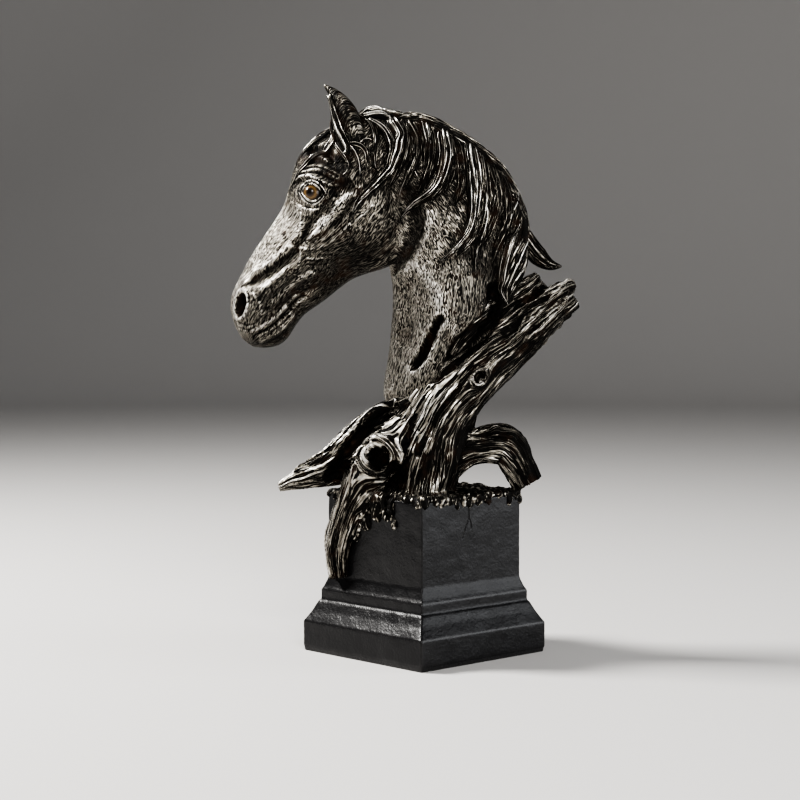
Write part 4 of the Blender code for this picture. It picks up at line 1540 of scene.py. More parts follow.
@dataclass
class Mane:
    """The mane on both sides, its crest, the forelock and the lock swept back over the trunk.

    Attributes:
        tree: A lookup on the skins of the head and neck.
        step: How far apart a lock's rings are.
        clear_of_skin: How far off the rays start that lay a lock on the skin.
        locks: The locks on the near side, in profile.
        crests: Where the crest's locks lie sideways.
        crest: The crest's line, in profile.
        forelocks: The forehead's locks, their points given along and across the head.
        swept: The line of the locks swept back from the crest's end.
        forelock_size: A forehead lock's width, thickness, strands and wax.
        crest_size: A crest lock's width, thickness, strands, wax and fullness at its root.
        swept_size: The same for a swept lock.
    """

    tree: BVHTree
    step: float = 1.1
    clear_of_skin: float = 60.0
    locks: tuple[Lock, ...] = (
        underlayer((-13, 196), (-7, 190), (-4, 182), (-5, 173), (-8, 164), (-11, 157)),
        underlayer((-4, 195), (2, 189), (4, 180), (3, 170), (0, 161), (-3, 155)),
        underlayer((5, 192), (11, 185), (14.5, 175), (14, 165), (10.5, 156)),
        underlayer((11, 189), (17, 181), (20, 170), (19.5, 159), (16, 149)),
        underlayer((18, 185), (25, 176), (30, 165), (31, 153), (28, 141), (23, 132)),
        underlayer((25, 180), (32, 171), (37, 159), (37, 147), (33, 135), (28, 127)),
        underlayer((32, 174), (40, 164), (44.5, 152), (43, 140), (38, 129), (35, 119)),
        underlayer((39, 167), (46, 157), (50, 145), (48, 132), (44, 120), (42, 108)),
        underlayer((44, 158), (51, 148), (54, 137), (52.5, 126), (49, 115), (46, 106)),
        Lock(((-24, 199), (-18, 201), (-12.5, 198.5), (-10, 194), (-9.4, 188)), 6.6, 5.6, 7, 1.0),
        Lock(((-33, 196), (-27, 199.4), (-20, 199.6), (-14.5, 195.5), (-11.4, 189)), 5.4, 4.2, 6, 1.0),
        Lock(((-31, 195.5), (-24, 196.6), (-18, 193), (-14, 187.5), (-12.8, 181), (-14.4, 174.5),
             (-18.5, 167.5), (-24.5, 160.5), (-30.5, 154.5), (-34.6, 149.5), (-36.2, 144)),
             7.6, 4.4, 7, 1.0, lift=0.5),
        Lock(((-17, 201), (-10.6, 195.2), (-8.8, 187), (-9.4, 177), (-13.3, 166), (-19, 157.7)),
             5.6, 3.2, 5, 0.55),
        Lock(((-28, 194), (-21.5, 190), (-18, 184), (-17.2, 177.5), (-18.8, 171), (-23, 164)),
             4.8, 3.2, 5, 0.9),
        Lock(((-30, 195), (-26, 191), (-24.4, 184), (-25, 175.7), (-24.4, 167.4)), 4.2, 2.2, 4, 0.7),
        Lock(((-27, 176), (-25.6, 170), (-22.4, 165.4)), 1.4, 1.0, 2, 0.8),
        Lock(((-7, 197), (-5.6, 184), (-4.9, 175.7), (-8.4, 166), (-11.9, 157.7), (-12.8, 151)),
             2.8, 2.2, 3, 0.75),
        Lock(((-6, 171), (-3.6, 165.6), (-0.5, 161.6)), 1.4, 1.1, 2, 0.7),
        Lock(((-9, 199.5), (-4, 196.5), (0.4, 190.5), (2.2, 184.5), (2.5, 178), (1.3, 170)),
             6.4, 3.8, 6, 1.0),
        Lock(((-2, 198), (4, 194.5), (8.6, 187.6), (10.8, 180.6), (11.1, 173), (9.6, 165.5), (5.9, 158.6),
             (0.6, 153.5), (-5.6, 150), (-9.8, 145.8), (-12.2, 141.6)), 7.4, 4.4, 7, 1.0, lift=0.5),
        Lock(((4, 196.5), (10.5, 190.5), (14, 183), (15, 175), (13.4, 166), (9.7, 158), (3.4, 151)),
             5.2, 3.2, 5, 0.5),
        Lock(((9, 194.5), (15.5, 187.5), (19, 179), (19.6, 170), (18.4, 161), (15, 152)), 4.6, 2.6, 5, 0.35),
        Lock(((10, 193.5), (16.4, 188.8), (22.2, 179.5), (25, 170.2), (25.9, 161.8), (26.2, 153.5),
             (25.8, 145.1), (23.4, 136.8), (18.7, 129.9), (13.8, 125), (8.8, 121)),
             8.6, 4.6, 8, 1.0, lift=0.5),
        Lock(((17, 190), (23.5, 183.5), (28.5, 175), (31, 166), (32, 156.3), (31.2, 146.5), (28.3, 136.8),
             (22.9, 128.5), (17.3, 122.9)), 6.0, 3.6, 6, 0.7),
        Lock(((25, 185), (31, 177.5), (36, 168), (37, 158), (35, 148), (31.4, 139), (27, 131)),
             5.0, 3.0, 5, 0.45),
        Lock(((31.2, 153.5), (32.8, 145.1), (30.4, 134), (27.1, 125.7), (26.6, 116)), 4.4, 2.8, 4, 0.85),
        Lock(((31, 181), (37.6, 173), (41, 164), (41, 154), (38.4, 145), (35, 136), (32, 128)),
             4.8, 2.8, 5, 0.45),
        Lock(((33, 148), (33.6, 141), (31.4, 134), (27, 128.6)), 2.4, 1.6, 2, 0.6),
        Lock(((39, 173.5), (43.6, 165.5), (46.6, 158), (46.4, 151), (44, 143.8), (41.6, 135.4), (40.6, 126)),
             5.6, 3.4, 5, 1.0),
        Lock(((44.5, 168.5), (50, 160), (52.5, 150), (51.5, 140), (48, 130)), 5.4, 3.2, 5, 0.6),
        Lock(((48.4, 151.6), (44.8, 146.8), (42.4, 141)), 2.2, 1.8, 2, 0.95),
        Lock(((50, 143), (46.6, 135), (43, 126.6), (41, 118), (40.2, 110), (40.8, 104), (44, 98)),
             5.6, 3.4, 5, 1.0, lift=0.4),
        Lock(((54, 141), (51.4, 131.6), (47.4, 122), (44, 113), (42, 105), (43.5, 99)), 6.4, 3.2, 5, 1.0),
        Lock(((56.4, 134), (54.4, 126), (51, 117.6), (47, 110), (44.6, 103.6)), 5.0, 2.6, 4, 0.8),
        Lock(((55.6, 132.6), (56, 127.4), (59, 121.6)), 2.4, 1.8, 2, 0.8),
        Lock(((-46, 188.5), (-45.4, 182), (-42, 177), (-38.6, 172.5), (-38.2, 168.2), (-41.4, 165.2)),
             3.2, 1.7, 3, 0.95),
        Lock(((-42, 184), (-37, 179.5), (-33.8, 174), (-32.6, 169), (-32.6, 163.5)), 2.8, 1.4, 3, 0.8),
        Lock(((-40, 181.5), (-34, 181.6), (-29.6, 178), (-28.6, 172), (-30, 166)), 3.0, 1.4, 3, 0.6),
        Lock(((-34, 180), (-29.5, 184), (-26, 183)), 2.2, 1.2, 2, 0.6),
    )
    crests: tuple[float, ...] = (-2.4, 2.4)
    crest: Path = (
        (-9, 197), (3, 194), (15, 187.5), (27, 179.5), (37, 170.5), (45.5, 160.5), (51, 149), (54.5, 138),
    )
    forelocks: Path = (
        ((-9, -6), (2, -8), (12, -9.5), (22, -9.5), (32, -7), (45, -3.5)),
        ((-9, 0), (3, -1.5), (14, -3), (26, -2.5), (38, -1)),
        ((-8, 5), (4, 5.5), (15, 6), (27, 5), (40, 3)),
        ((-8, 10), (3, 12), (13, 13.5), (23, 12.5), (33, 9)),
        ((-7, -11), (3, -13.5), (12, -15), (20, -15.5)),
        ((-7, 13), (2, 15.5), (10, 16.5)),
    )
    swept: Path = ((49, 138), (55, 129.5), (60.5, 123), (66, 119.4), (71.8, 118.8))
    forelock_size: tuple[float, float, int, float] = (5.0, 2.3, 4, 0.8)
    crest_size: tuple[float, float, int, float, float] = (6.6, 7.2, 7, 0.5, 0.8)
    swept_size: tuple[float, float, int, float, float] = (10.0, 5.0, 7, 0.6, 0.8)

    def _lie(self, origins: Array, direction: Sequence[float]) -> tuple[Array, Array]:
        """Where rays from the origins meet the skin, or the nearest skin for a ray that misses.

        Args:
            origins: One row for each ray's start.
            direction: The rays' direction.

        Returns:
            The spots and the skin's normals there, one row for each.
        """
        spots, normals = [], []
        for x, y, z in origins:
            hit, normal, _, _ = self.tree.ray_cast(Vector((x, y, z)), Vector(direction))
            if hit is None:
                hit, normal, _, _ = self.tree.find_nearest(Vector((x, 0.05 * y, z)))
            spots.append(hit)
            normals.append(normal)
        return np.array(spots), np.array(normals)

    def _spread(self, path: Path) -> Array:
        """A lock's path with its rings' places spread along it."""
        return smooth_path(path, max(12, int(path_length(path) / self.step)))

    def side(self, side: Side) -> Tresses:
        """The locks of one side; the far side's hang a little differently.

        Args:
            side: The side.

        Returns:
            The hair.
        """
        tresses = Tresses()
        chance = random.Random(31)
        for number, lock in enumerate(self.locks):
            flat = self._spread(lock.path)
            if side is Side.FAR:
                shift = np.array((chance.uniform(-2.0, 2.0), chance.uniform(-1.5, 1.5)))
                flat = flat + shift * np.linspace(0, 1, len(flat))[:, None]
            start = side.value * self.clear_of_skin
            origins = np.stack((flat[:, 0], np.full(len(flat), start), flat[:, 1]), axis=1)
            spots, normals = self._lie(origins, (0, -side.value, 0))
            tresses.add(spots, normals, lock, number + (0 if side is Side.NEAR else 50))
        return tresses

    def top(self) -> Tresses:
        """The locks on the forehead and along the crest, and the swept lock."""
        tresses = Tresses()
        start = HEAD_TOP + HEAD_FRONT * self.clear_of_skin
        for number, path in enumerate(self.forelocks):
            flat = self._spread(path)
            origins = start + flat[:, :1] * HEAD_AXIS + flat[:, 1:] * SIDEWAYS
            spots, normals = self._lie(origins, -HEAD_FRONT)
            tresses.add(spots, normals, Lock(path, *self.forelock_size), 80 + number)
        outward = np.array((0.6, 0.0, 0.8))
        for number, y in enumerate(self.crests):
            flat = self._spread(self.crest)
            origins = np.stack((flat[:, 0], np.full(len(flat), y), flat[:, 1]), axis=1) + 30 * outward
            spots, normals = self._lie(origins, -outward)
            tresses.add(spots, normals, Lock(self.crest, *self.crest_size), 90 + number)
        for side in Side:
            flat = self._spread(self.swept)
            spots = np.stack((flat[:, 0], 0 * flat[:, 0], flat[:, 1]), axis=1)
            normals = np.tile(side.value * SIDEWAYS, (len(spots), 1))
            tresses.add(spots, normals, Lock(self.swept, *self.swept_size), 95 + side.value)
        return tresses

    def dress(self, paint: DryBrushedBronze, skins: Sequence[Skin]) -> list[bpy.types.Object]:
        """Sets the hair down with its finish, in three pieces.

        Args:
            paint: The finish.
            skins: The skins that the hair lies on and paints shade onto.

        Returns:
            The pieces.
        """
        finish = paint.material(HAIR)
        pieces = []
        for name, tresses in (
            ("mane_near", self.side(Side.NEAR)),
            ("mane_far", self.side(Side.FAR)),
            ("crest_and_forelock", self.top()),
        ):
            for skin in skins:
                tresses.shade(skin)
            pieces.append(tresses.skin().place(name, finish, BRONZE_SLOT, CASTING_NODE))
        return pieces


def path_length(path: Path) -> float:
    """A path's length, straight from point to point."""
    return float(np.linalg.norm(np.diff(np.asarray(path, float), axis=0), axis=1).sum())


@dataclass(frozen=True)
class Knot:
    """A knot that the grain flows round.

    Attributes:
        limb: The number of its limb.
        centre: Its middle, in profile.
        radius: How far out the grain is bent wholly round it.
    """

    limb: int
    centre: tuple[float, float]
    radius: float


@dataclass
class Driftwood(Carving):
    """The trunk, its branches and root, and the rubble that they stand in.

    Attributes:
        strokes: The troughs, ridges and hollows, in profile.
        dishes: The knotholes.
        knots: The knots that the grain flows round.
        knuckles: The lumps on the loop branch's bend, from the block's corner, and their radii.
        lumps: How many lumps of rubble lie along the bed's rim, hang below it and lie on the bed.
        trunk_tip: The middle of the trunk's broken end.
        trunk_tip_radii: Its three radii.
        drapes: The casting that hangs over the block's left face: place along it, fall and breadth.
    """

    name: str = "driftwood"
    brushing: Brushing = GRAIN
    voxel: float = 0.52
    most: int = 197_000
    strokes: tuple[Stroke, ...] = (
        Stroke(((38, 106), (37, 94), (30, 83), (21, 72), (15, 66.5), (8, 62), (1, 62.5)), 4.2, -3.6),
        Stroke(((-17, 47), (-25, 39.5), (-33, 31), (-39, 23), (-44, 14), (-47, 10)), 5.4, -6.5),
        Stroke(((-66, 12.5), (-52, 22), (-40, 32), (-28, 42), (-15, 50)), 2.6, 2.0),
        Stroke(((-60, 12.5), (-50, 17), (-42, 25), (-36, 33)), 2.0, 1.3),
        Stroke(((-36, 6), (-35.5, 18), (-32.5, 27), (-24, 31), (-14, 30), (-11, 22), (-13, 14)), 2.2, 1.6),
        Stroke(((-14, 14), (-14.5, 6), (-15, -6)), 6.0, -5.0),
        Stroke(((-5, 24), (-2, 36), (3, 47), (8, 55)), 3.2, 1.6),
        Stroke(((-9, 20), (-7, 32), (-3, 44), (3, 56)), 1.6, -2.0),
        Stroke(((-2, 22), (3, 34), (10, 46), (19, 57)), 1.6, -2.0),
        Stroke(((3, 24), (9, 36), (18, 48)), 3.0, 1.0),
        Stroke(((24, 59), (40, 72), (56, 84), (70, 97)), 2.6, 1.4),
        Stroke(((42, 84), (52, 92), (64, 102)), 2.2, -1.6),
        Stroke(((46, 98), (56, 103), (64, 108)), 2.0, -1.4),
        Stroke(((24, 33), (34, 31), (42, 29)), 2.0, -1.6),
    )
    # Painted light and shade, laid on as fuller or thinner wax: shade in the trough beside the neck, on the
    # loop branch and low on the trunk, light on the left branch and the trunk's middle.
    light_and_shade_washes: tuple[Stroke, ...] = (
        Stroke(((40, 100), (34, 88), (24, 78), (16, 70)), 7.0, -0.22),
        Stroke(((24, 28), (44, 32), (54, 22), (59, 6)), 11.0, -0.21),
        Stroke(((-62, 12), (-46, 25), (-32, 38)), 6.0, 0.16),
        Stroke(((-8, 14), (6, 18), (20, 22)), 9.0, -0.12),
        Stroke(((-2, 32), (4, 44), (14, 58)), 8.0, 0.16),
    )
    dishes: tuple[Dish, ...] = (
        Dish((-22.5, 20.2), (5.6, 6.6), 0, 7.0, 0.7, 0.3),
        Dish((28.9, 61.8), (2.4, 2.9), -20, 3.6, 1.0, 0.4),
    )
    knots: tuple[Knot, ...] = (Knot(3, (-22.5, 20.2), 9.4), Knot(0, (28.9, 61.8), 4.8))
    knuckles: tuple[tuple[Triple, Triple], ...] = (
        ((-5.5, -1.0, 29.6), (5.4, 7.0, 4.6)),
        ((-13.0, -2.0, 32.0), (3.2, 4.5, 4.4)),
        ((-3.4, -2.0, 29.2), (3.2, 5.0, 4.0)),
    )
    lumps: tuple[int, int, int] = (110, 150, 70)
    trunk_tip: Triple = (75.4, -1.0, 108.0)
    trunk_tip_radii: Triple = (3.6, 5.0, 4.4)
    drapes: Path = ((0.42, 12, 2.6), (0.27, 8, 4), (0.08, 9, 5), (-0.15, 14, 6), (-0.38, 20, 7))

    @staticmethod
    def limbs() -> tuple[Limb, ...]:
        """The wood's limbs, the root and the loop branch reaching for two corners of the block."""
        left = np.array(on_plinth(-HALF_BLOCK, -HALF_BLOCK))
        right = np.array(on_plinth(HALF_BLOCK, HALF_BLOCK))
        trunk = Limb(
            (
                *((-6, 0, -4), (-3, 0, 12), (2, -2, 31), (12, -4, 49)),
                *((27, -4, 63.5), (45, -3, 79.5), (62, -2, 94), (76, 0, 104.5)),
            ),
            (20, 20, 20, 18, 15, 13, 10.5, 8),
            (24, 24, 23, 21, 18.5, 14, 10, 7),
            1,
        )
        spur = Limb(
            ((16, 1, 70), (33, 2, 87), (48, 3, 101), (61, 3, 112)),
            (13, 13, 9.5, 5),
            (15, 14, 10, 6),
            2,
        )
        left_branch = Limb(
            ((-4, -4, 43), (-26, -9, 31), (-44, -10, 16.5), (-60, -9, 9.5), (-75.5, -8, 3.6)),
            (12, 13, 10.5, 6.6, 2.2),
            (15, 12, 9, 6, 2.2),
            3,
        )
        root = Limb(
            (
                *((-8, -11, 36), (-21, -14, 20), (-33, -13.5, 3)),
                left + (9, -11, -0.38 * BLOCK_DROP),
                left + (5.5, -8.5, -0.72 * BLOCK_DROP),
                left + (6, -7.5, -BLOCK_DROP),
            ),
            (14, 13.5, 10, 7.8, 6.4, 4.8),
            (12, 12, 10, 8, 7, 5.5),
            4,
        )
        loop_branch = Limb(
            (
                *((2, -2, 12), (16, -1, 20.5), (29, 0, 25)),
                right + (-8.5, 1, 25),
                right + (-1.5, 1, 15.5),
                right + (4.5, 1, 5),
            ),
            (14, 10.5, 9.2, 10.2, 8.6, 8),
            (14, 11, 9, 9.5, 8.6, 7.8),
            5,
        )
        return trunk, spur, left_branch, root, loop_branch

    def _rubble(self, clay: Clay) -> None:
        """Adds the bed of rubble on the plinth's top, with lumps that hang over its rim in places.

        Args:
            clay: The clay that it is added to.
        """
        side = BLOCK_SIDE - 1.4
        turned = Matrix.Rotation(-CASTING_TURN, 4, "Z")
        bed = Matrix.Translation((0, 0, 0.6)) @ Matrix.Diagonal((side, side, 3.4, 1))
        bmesh.ops.create_cube(clay.bm, size=1, matrix=turned @ bed)
        chance = random.Random(7)
        on_rim, below_rim, on_bed = self.lumps
        for number in range(on_rim):
            size = chance.uniform(1.5, 3.2)
            inset = HALF_BLOCK - size * chance.uniform(0.3, 1.2)
            quarter = Matrix.Rotation(number * math.pi / 2, 3, "Z")
            along = chance.uniform(-1, 1) * (HALF_BLOCK - 1)
            spot = quarter @ Vector((along, -inset, chance.uniform(0.4, 1.6)))
            clay.lump(on_plinth(*spot), (size, size, size * chance.uniform(0.6, 1.0)), 2)
        for number in range(below_rim):
            size = chance.uniform(1.2, 2.4)
            along = chance.uniform(-1, 1)
            fall = chance.uniform(0, 5.0) * (0.55 + 0.45 * math.sin(9 * along + 2 * number))
            quarter = Matrix.Rotation(number * math.pi / 2, 3, "Z")
            spot = quarter @ Vector((along * HALF_BLOCK, 1.0 - HALF_BLOCK, -fall))
            clay.lump(on_plinth(*spot), (size, size, size * chance.uniform(0.8, 1.4)), 2)
        for _ in range(on_bed):
            x, y = (chance.uniform(-0.9, 0.9) * HALF_BLOCK for _ in range(2))
            size = chance.uniform(2.0, 4.0)
            clay.lump(on_plinth(x, y, 1.5), (size, size, size * 0.6), 2)
        for share, fall, breadth in self.drapes:
            for step in np.linspace(0, 1, 9):
                spot = on_plinth(share * HALF_BLOCK, 0.6 - HALF_BLOCK, -fall * step)
                clay.lump(spot, (breadth * (1 - 0.35 * step), 3.0, 3.5))

    def model(self) -> None:
        """Fuses the limbs and the rubble, carves them and raises the grain."""
        clay = Clay()
        limbs = self.limbs()
        for limb in limbs:
            clay.loft(limb.rings())
        corner = on_plinth(HALF_BLOCK, HALF_BLOCK)
        for place, radii in self.knuckles:
            clay.lump(corner + Vector(place), radii)
        clay.lump(self.trunk_tip, self.trunk_tip_radii)
        self._rubble(clay)
        facing = self.fuse(clay)
        skin = self.skin
        carved = sum(stroke.work(ragged(skin.points)) for stroke in self.strokes)
        rise = (carved + sum(dish.work(skin.points) for dish in self.dishes)) * facing
        skin.push(rise)
        self._raise_grain(limbs, rise)

    def _flow(self, limbs: tuple[Limb, ...]) -> tuple[Array, Array]:
        """Where each point lies in the grain.

        Args:
            limbs: The wood's limbs.

        Returns:
            Each point's two places across the grain and one along it, in millimetres, and how many of the
            nearest limb's radii it lies out from that limb's middle line.
        """
        points = self.skin.points
        flows, closeness = [], []
        for number, limb in enumerate(limbs):
            along, angle, out = limb.locate(points)
            girth = float(np.mean(limb.girths()))
            sway = 2.0 * lattice_noise(np.column_stack((points[:, :2] / 15, along / 30)), 20 + limb.seed)
            sway += 0.3 * lattice_noise(np.column_stack((points[:, :2] / 6, along / 12)), 30 + limb.seed)
            turn = angle + sway / girth
            rings = np.zeros((len(points), 3))
            ringed = np.zeros(len(points), bool)
            for knot in self.knots:
                if knot.limb == number:
                    aside, ahead = self._from_knot(knot, along, angle, girth)
                    gap = np.maximum(np.hypot(aside, ahead), 0.01)
                    turn = turn - aside / girth * np.minimum(knot.radius / gap, 1) ** 2
                    inside = gap < knot.radius
                    round_it = np.arctan2(ahead, aside) * knot.radius
                    rings[inside] = np.column_stack((2.0 * gap, 0 * gap, round_it))[inside]
                    ringed |= inside
            rows = np.column_stack((np.cos(turn) * girth, np.sin(turn) * girth, along + 60.0 * limb.seed))
            flows.append(np.where(ringed[:, None], rings, rows))
            closeness.append(out)
        nearest = np.argmin(closeness, axis=0)
        return np.take_along_axis(np.array(flows), nearest[None, :, None], 0)[0], np.min(closeness, axis=0)

    def _from_knot(self, knot: Knot, along: Array, angle: Array, girth: float) -> tuple[Array, Array]:
        """How far each point lies from a knot, round the limb and along it, in millimetres.

        Args:
            knot: The knot.
            along: Each point's place along the limb.
            angle: Each point's angle round it.
            girth: The limb's mean radius.

        Returns:
            The distances round the limb and along it.
        """
        x, z = knot.centre
        points = self.skin.points
        middle = np.argmin(np.hypot(points[:, 0] - x, points[:, 2] - z) + 99 * (points[:, 1] > -3))
        aside = (angle - angle[middle] + np.pi) % (2 * np.pi) - np.pi
        return aside * girth, along - along[middle]

    def _raise_grain(self, limbs: tuple[Limb, ...], rise: Array) -> None:
        """Raises the grain along the limbs and round the knots, and keeps what the finish reads.

        Args:
            limbs: The wood's limbs.
            rise: How far the strokes have raised each point.
        """
        skin = self.skin
        points = skin.points
        flow, out = self._flow(limbs)
        bundles = np.clip(2.2 * np.abs(lattice_noise(flow / (4.4, 4.4, 60), 41)), 0, 1) ** 0.7
        fibres = np.clip(2.4 * np.abs(lattice_noise(flow / (2.0, 2.0, 34), 42)), 0, 1) ** 0.7
        shine = np.clip(2.0 * lattice_noise(flow / (9, 9, 40), 48), -0.5, 1)
        threads = ridged(flow / (1.25, 1.25, 22), 43)
        bark = lattice_noise(flow / (2.0, 2.0, 4.5), 47)
        gravel = lattice_noise(points / 1.9, 45) + 0.6 * lattice_noise(points / 0.95, 46)
        stony = (1 - rise_between(points[:, 2], 3.5, 6.5)) * rise_between(out, 1.1, 1.3)
        rough = rise_between(points[:, 0], 34, 52) * rise_between(points[:, 2], 66, 78)
        relief = 0.85 * bundles + 0.60 * fibres + 0.50 * threads + 1.0 * rough * bark
        skin.push((relief - 1.4) * (1 - stony) + 0.55 * gravel * stony)
        # Wax and painted light where the wood faces up and forward, more wax on raised places, and painted
        # shade in carved troughs and where the wood sinks below its surroundings.
        lit = brush_and_light(skin.normals, 0.55, 0.45)
        wax = 0.10 * bundles + 0.15 * fibres + 0.24 * threads + 0.42 * lit + 0.22 * shine - 0.07
        wax = (wax - rough * (0.08 - 0.2 * bark)) * (1 - stony) + stony * (0.02 + 0.50 * gravel)
        wax += np.clip(0.07 * rise, -0.5, 0.12) + skin.proud_wax_and_hollow_shade(0.22, 0.09)
        skin.values["flow"] = flow
        skin.values["wax"] = wax + painted_light_and_shade(skin, self.light_and_shade_washes)


@dataclass
class Plinth:
    """The square moulded plinth, cast a little uneven, with a hairline crack in one face.

    Attributes:
        block: Half the block's side, and the heights of its bottom and top.
        fascia: Half the fascia's side, and the heights of its bottom and top.
        foot: Half the foot's side, and the heights of its bottom and top.
        corner: The radius of the upright corners.
        most: The most triangles it may have.
        crack: The crack's lines on the right face, across it and down from its top.
    """

    block: Triple = (HALF_BLOCK, 40.0, 83.0)
    fascia: Triple = (38.7, 27.4, 32.4)
    foot: Triple = (FOOT_SIDE / 2, 0.0, 16.2)
    corner: float = 0.9
    most: int = 70_000
    crack: tuple[Path, ...] = (
        ((-2.0, 0.0), (-2.5, -5.5), (-2.2, -10.0), (-4.6, -14.5), (-5.4, -17.0), (-6.9, -20.0)),
        ((-2.2, -10.0), (-0.9, -12.4), (-0.4, -15.2)),
    )

    def outline(self) -> Array:
        """Half the side and the height of each row, from the top down."""
        block, block_bottom, block_top = self.block
        fascia, fascia_bottom, fascia_top = self.fascia
        foot, foot_bottom, foot_top = self.foot
        turns = ((block - 0.45, block_top), (block, block_top - 0.45), (block, block_bottom))
        turns += ((block + 0.35, block_bottom - 1.6), (fascia - 1.1, fascia_top + 1.9), (fascia, fascia_top))
        turns += ((fascia, fascia_bottom), (fascia + 0.9, fascia_bottom - 0.9))
        turns += ((fascia + 3.0, foot_top + 5.6), (foot - 1.0, foot_top + 1.1), (foot, foot_top - 0.6))
        turns += ((foot, foot_bottom + 3.0), (foot - 0.6, foot_bottom + 0.5), (foot - 0.9, foot_bottom))
        rows = []
        for start, end in zip(np.array(turns), np.array(turns)[1:]):
            length = np.linalg.norm(end - start)
            step = 0.42 if start[1] > block_top - 23 else 0.8
            shares = np.linspace(0, 1, int(length / step) + 2)[:-1]
            rows.extend(start + (end - start) * share for share in shares)
        return np.array([*rows, turns[-1]])

    def square(self, half: float, height: float) -> Array:
        """A square ring with rounded corners, its points closer together where the crack runs.

        Args:
            half: Half its side.
            height: Its height.

        Returns:
            One row for each point.
        """
        straight = half - self.corner
        places = np.linspace(-1, 1, 64)
        turn = np.linspace(0, np.pi / 2, 6)[1:-1]
        ring = []
        for quarter in range(4):
            if quarter == 0:
                cracked = np.concatenate((places, np.linspace(-9, 2, 40) / HALF_BLOCK))
            else:
                cracked = places
            spin = Matrix.Rotation(quarter * math.pi / 2, 2)
            ring.extend(spin @ Vector((half, place * straight)) for place in np.unique(cracked))
            ring.extend(
                spin @ Vector((straight + self.corner * math.cos(a), straight + self.corner * math.sin(a)))
                for a in turn
            )
        return np.array([(x, y, height) for x, y in ring])

    def build(self, paint: SatinBlack) -> bpy.types.Object:
        """Makes the plinth.

        Args:
            paint: Its finish.

        Returns:
            The piece.
        """
        clay = Clay()
        rows = self.outline()
        rings = [self.square(half, height) for half, height in rows]
        inset = [rings[0] * (share, share, 1) for share in (0.3, 0.7)]
        clay.loft((*inset, *rings, rings[-1] * (0.6, 0.6, 1)))
        skin = clay.skin()
        self._weather(skin)
        return skin.place("plinth_cast", paint.material(), "satin_black", "plinth", self.most)

    def _weather(self, skin: Skin) -> None:
        """Softens the arrises, makes the faces uneven and opens the crack.

        Args:
            skin: The plinth's skin.
        """
        top = self.block[2]
        free = rise_between(skin.points[:, 2], 0.2, 1.5)
        arris = skin.proudness(5)
        skin.move(skin.points + (skin.averaged(skin.points, 1) - skin.points) * free[:, None])
        worn = lattice_noise(skin.points / 8, 63)
        skin.values["worn"] = np.clip(arris * 5 + 0.3 * worn, 0, 1)
        uneven = 0.30 * lattice_noise(skin.points / 24, 61) + 0.14 * lattice_noise(skin.points / 7, 62)
        uneven += 0.035 * lattice_noise(skin.points / 1.8, 64)
        chipped = np.clip(arris * 3, 0, 1) * np.clip(lattice_noise(skin.points / 2.6, 65), 0, 1)
        on_face = skin.points[:, 0] > self.block[0] - 1.5
        along = np.column_stack((skin.points[:, 1], 0 * free, skin.points[:, 2] - top))
        split = sum(Stroke(path, 0.5, -0.55, Edge.CREASED).work(along) for path in self.crack) * on_face
        skin.push((np.minimum(uneven - 0.2, 0) - 0.35 * chipped + split) * free)


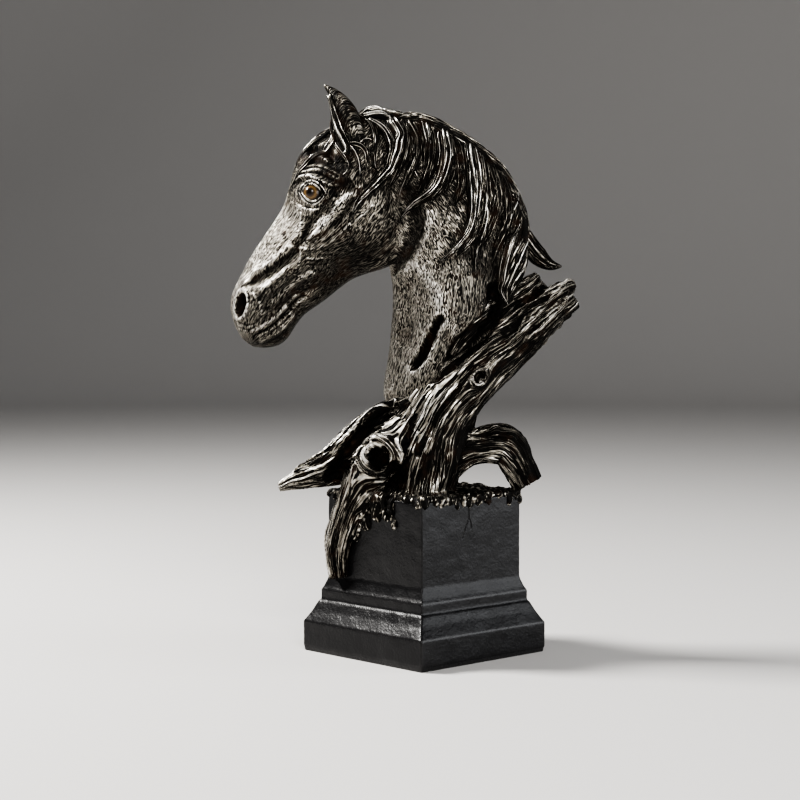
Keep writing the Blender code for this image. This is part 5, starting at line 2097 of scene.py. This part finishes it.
@dataclass
class Studio:
    """The camera at the photograph's angle, soft lights and a pale floor.

    Attributes:
        distance: How far the camera stands from the plinth's axis, in metres.
        eye_height: How high it stands.
        lens: Its focal length in millimetres, on a sensor 36 mm wide.
        swing: The way from the plinth to the camera, in degrees round from -Y towards +X.
        aside: How far it stands to the left, in metres.
        tilt: How far it looks down, in degrees.
        aim_height: How high the lamps aim, in metres.
        world_light: How strong the light from all round is.
        sweep_start: How far out the floor starts to sweep up, in metres.
        sweep_radius: The radius that it sweeps up on.
        wall: How high it then goes.
    """

    distance: float = 0.988
    eye_height: float = 0.176
    lens: float = 85.0
    swing: float = 46.9
    aside: float = 0.01255
    tilt: float = 2.546
    aim_height: float = 0.17
    world_light: float = 0.18
    sweep_start: float = 2.8
    sweep_radius: float = 0.9
    wall: float = 2.0

    def camera(self) -> None:
        """Sets up the camera."""
        data = bpy.data.cameras.new("camera")
        data.lens = self.lens
        data.sensor_width = 36.0
        turn = math.radians(self.swing)
        back = Vector((math.sin(turn), -math.cos(turn), 0))
        right = Vector((math.cos(turn), math.sin(turn), 0))
        obj = bpy.data.objects.new("camera", data)
        obj.location = back * self.distance - right * self.aside + Vector((0, 0, self.eye_height))
        obj.rotation_euler = (math.radians(90 - self.tilt), 0, turn)
        bpy.context.scene.collection.objects.link(obj)
        bpy.context.scene.camera = obj

    def lamp(
        self, name: str, place: Sequence[float], size: float, power: float, tone: Sequence[float]
    ) -> None:
        """Adds a soft light that faces the horse.

        Args:
            name: Its name.
            place: Where it stands: right of the camera's line, towards the camera, and up, in metres.
            size: Its side in metres.
            power: Its power in watts.
            tone: Its colour.
        """
        data = bpy.data.lights.new(name, "AREA")
        data.size = size
        data.energy = power
        data.color = tone
        obj = bpy.data.objects.new(name, data)
        turn = Matrix.Rotation(math.radians(self.swing), 3, "Z")
        obj.location = turn @ Vector((place[0], -place[1], place[2]))
        aim = Vector((0, 0, self.aim_height)) - obj.location
        obj.rotation_euler = aim.to_track_quat("-Z", "Y").to_euler()
        bpy.context.scene.collection.objects.link(obj)

    def build(self) -> None:
        """Sets up the camera, the lights, the world and the floor."""
        self.camera()
        self.lamp("key", (-0.95, -0.15, 1.05), 0.36, 36.0, (1.0, 0.98, 0.95))
        self.lamp("front", (0.20, 1.25, 0.75), 0.50, 13.0, (1.0, 0.98, 0.95))
        self.lamp("side", (1.25, 0.15, 0.35), 0.80, 8.0, (0.95, 0.97, 1.0))
        world = bpy.data.worlds.new("studio")
        world.use_nodes = True
        colour, strength = world.node_tree.nodes["Background"].inputs[:2]
        colour.default_value = (0.66, 0.665, 0.68, 1)
        strength.default_value = self.world_light
        bpy.context.scene.world = world
        bpy.context.scene.view_settings.look = "AgX - High Contrast"
        bm = bmesh.new()
        start, radius = self.sweep_start, self.sweep_radius
        turns = np.linspace(0, math.pi / 2, 13)
        sweep = [(start + radius * math.sin(a), radius - radius * math.cos(a)) for a in turns]
        profile = [(0.001, 0.0), (0.5, 0.0), *sweep, (start + radius, self.wall)]
        verts = [bm.verts.new((x, 0, z)) for x, z in profile]
        edges = [bm.edges.new(pair) for pair in zip(verts, verts[1:])]
        bmesh.ops.spin(
            bm, geom=verts + edges, axis=(0, 0, 1), cent=(0, 0, 0), angle=math.tau, steps=96, use_merge=True
        )
        mesh = mesh_from(bm, "floor")
        mesh.shade_smooth()
        mesh.materials.append(PaleFloor().material())
        floor = bpy.data.objects.new("floor", mesh)
        bpy.context.scene.collection.objects.link(floor)
        floor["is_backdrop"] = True


def report(piece: bpy.types.Object) -> None:
    """Says what a piece came to."""
    triangles = sum(len(face.vertices) - 2 for face in piece.data.polygons)
    log.info("%s: %d triangles", piece.name, triangles)


def main() -> None:
    """Builds the sculpture and its studio."""
    logging.basicConfig(level=logging.INFO, format="%(asctime)s %(message)s")
    Studio().build()
    bronze = DryBrushedBronze()
    report(Plinth().build(SatinBlack()))
    driftwood = Driftwood()
    driftwood.model()
    report(driftwood.dress(bronze))
    head, neck = Head(), Neck()
    head.model()
    neck.model()
    skins = (head.skin, neck.skin)
    for piece in Mane(lookup(skins)).dress(bronze, skins):
        report(piece)
    for side in Side:
        eye = Eye(side, head.eye, lookup([head.skin]))
        report(eye.ball())
        report(eye.rims(bronze))
    report(head.dress(bronze))
    report(neck.dress(bronze))
    boxes = {"cad": CAD_BOX, "visual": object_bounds()}
    {key: [list(corner) for corner in box] for key, box in boxes.items()}


if __name__ == "__main__":
    main()
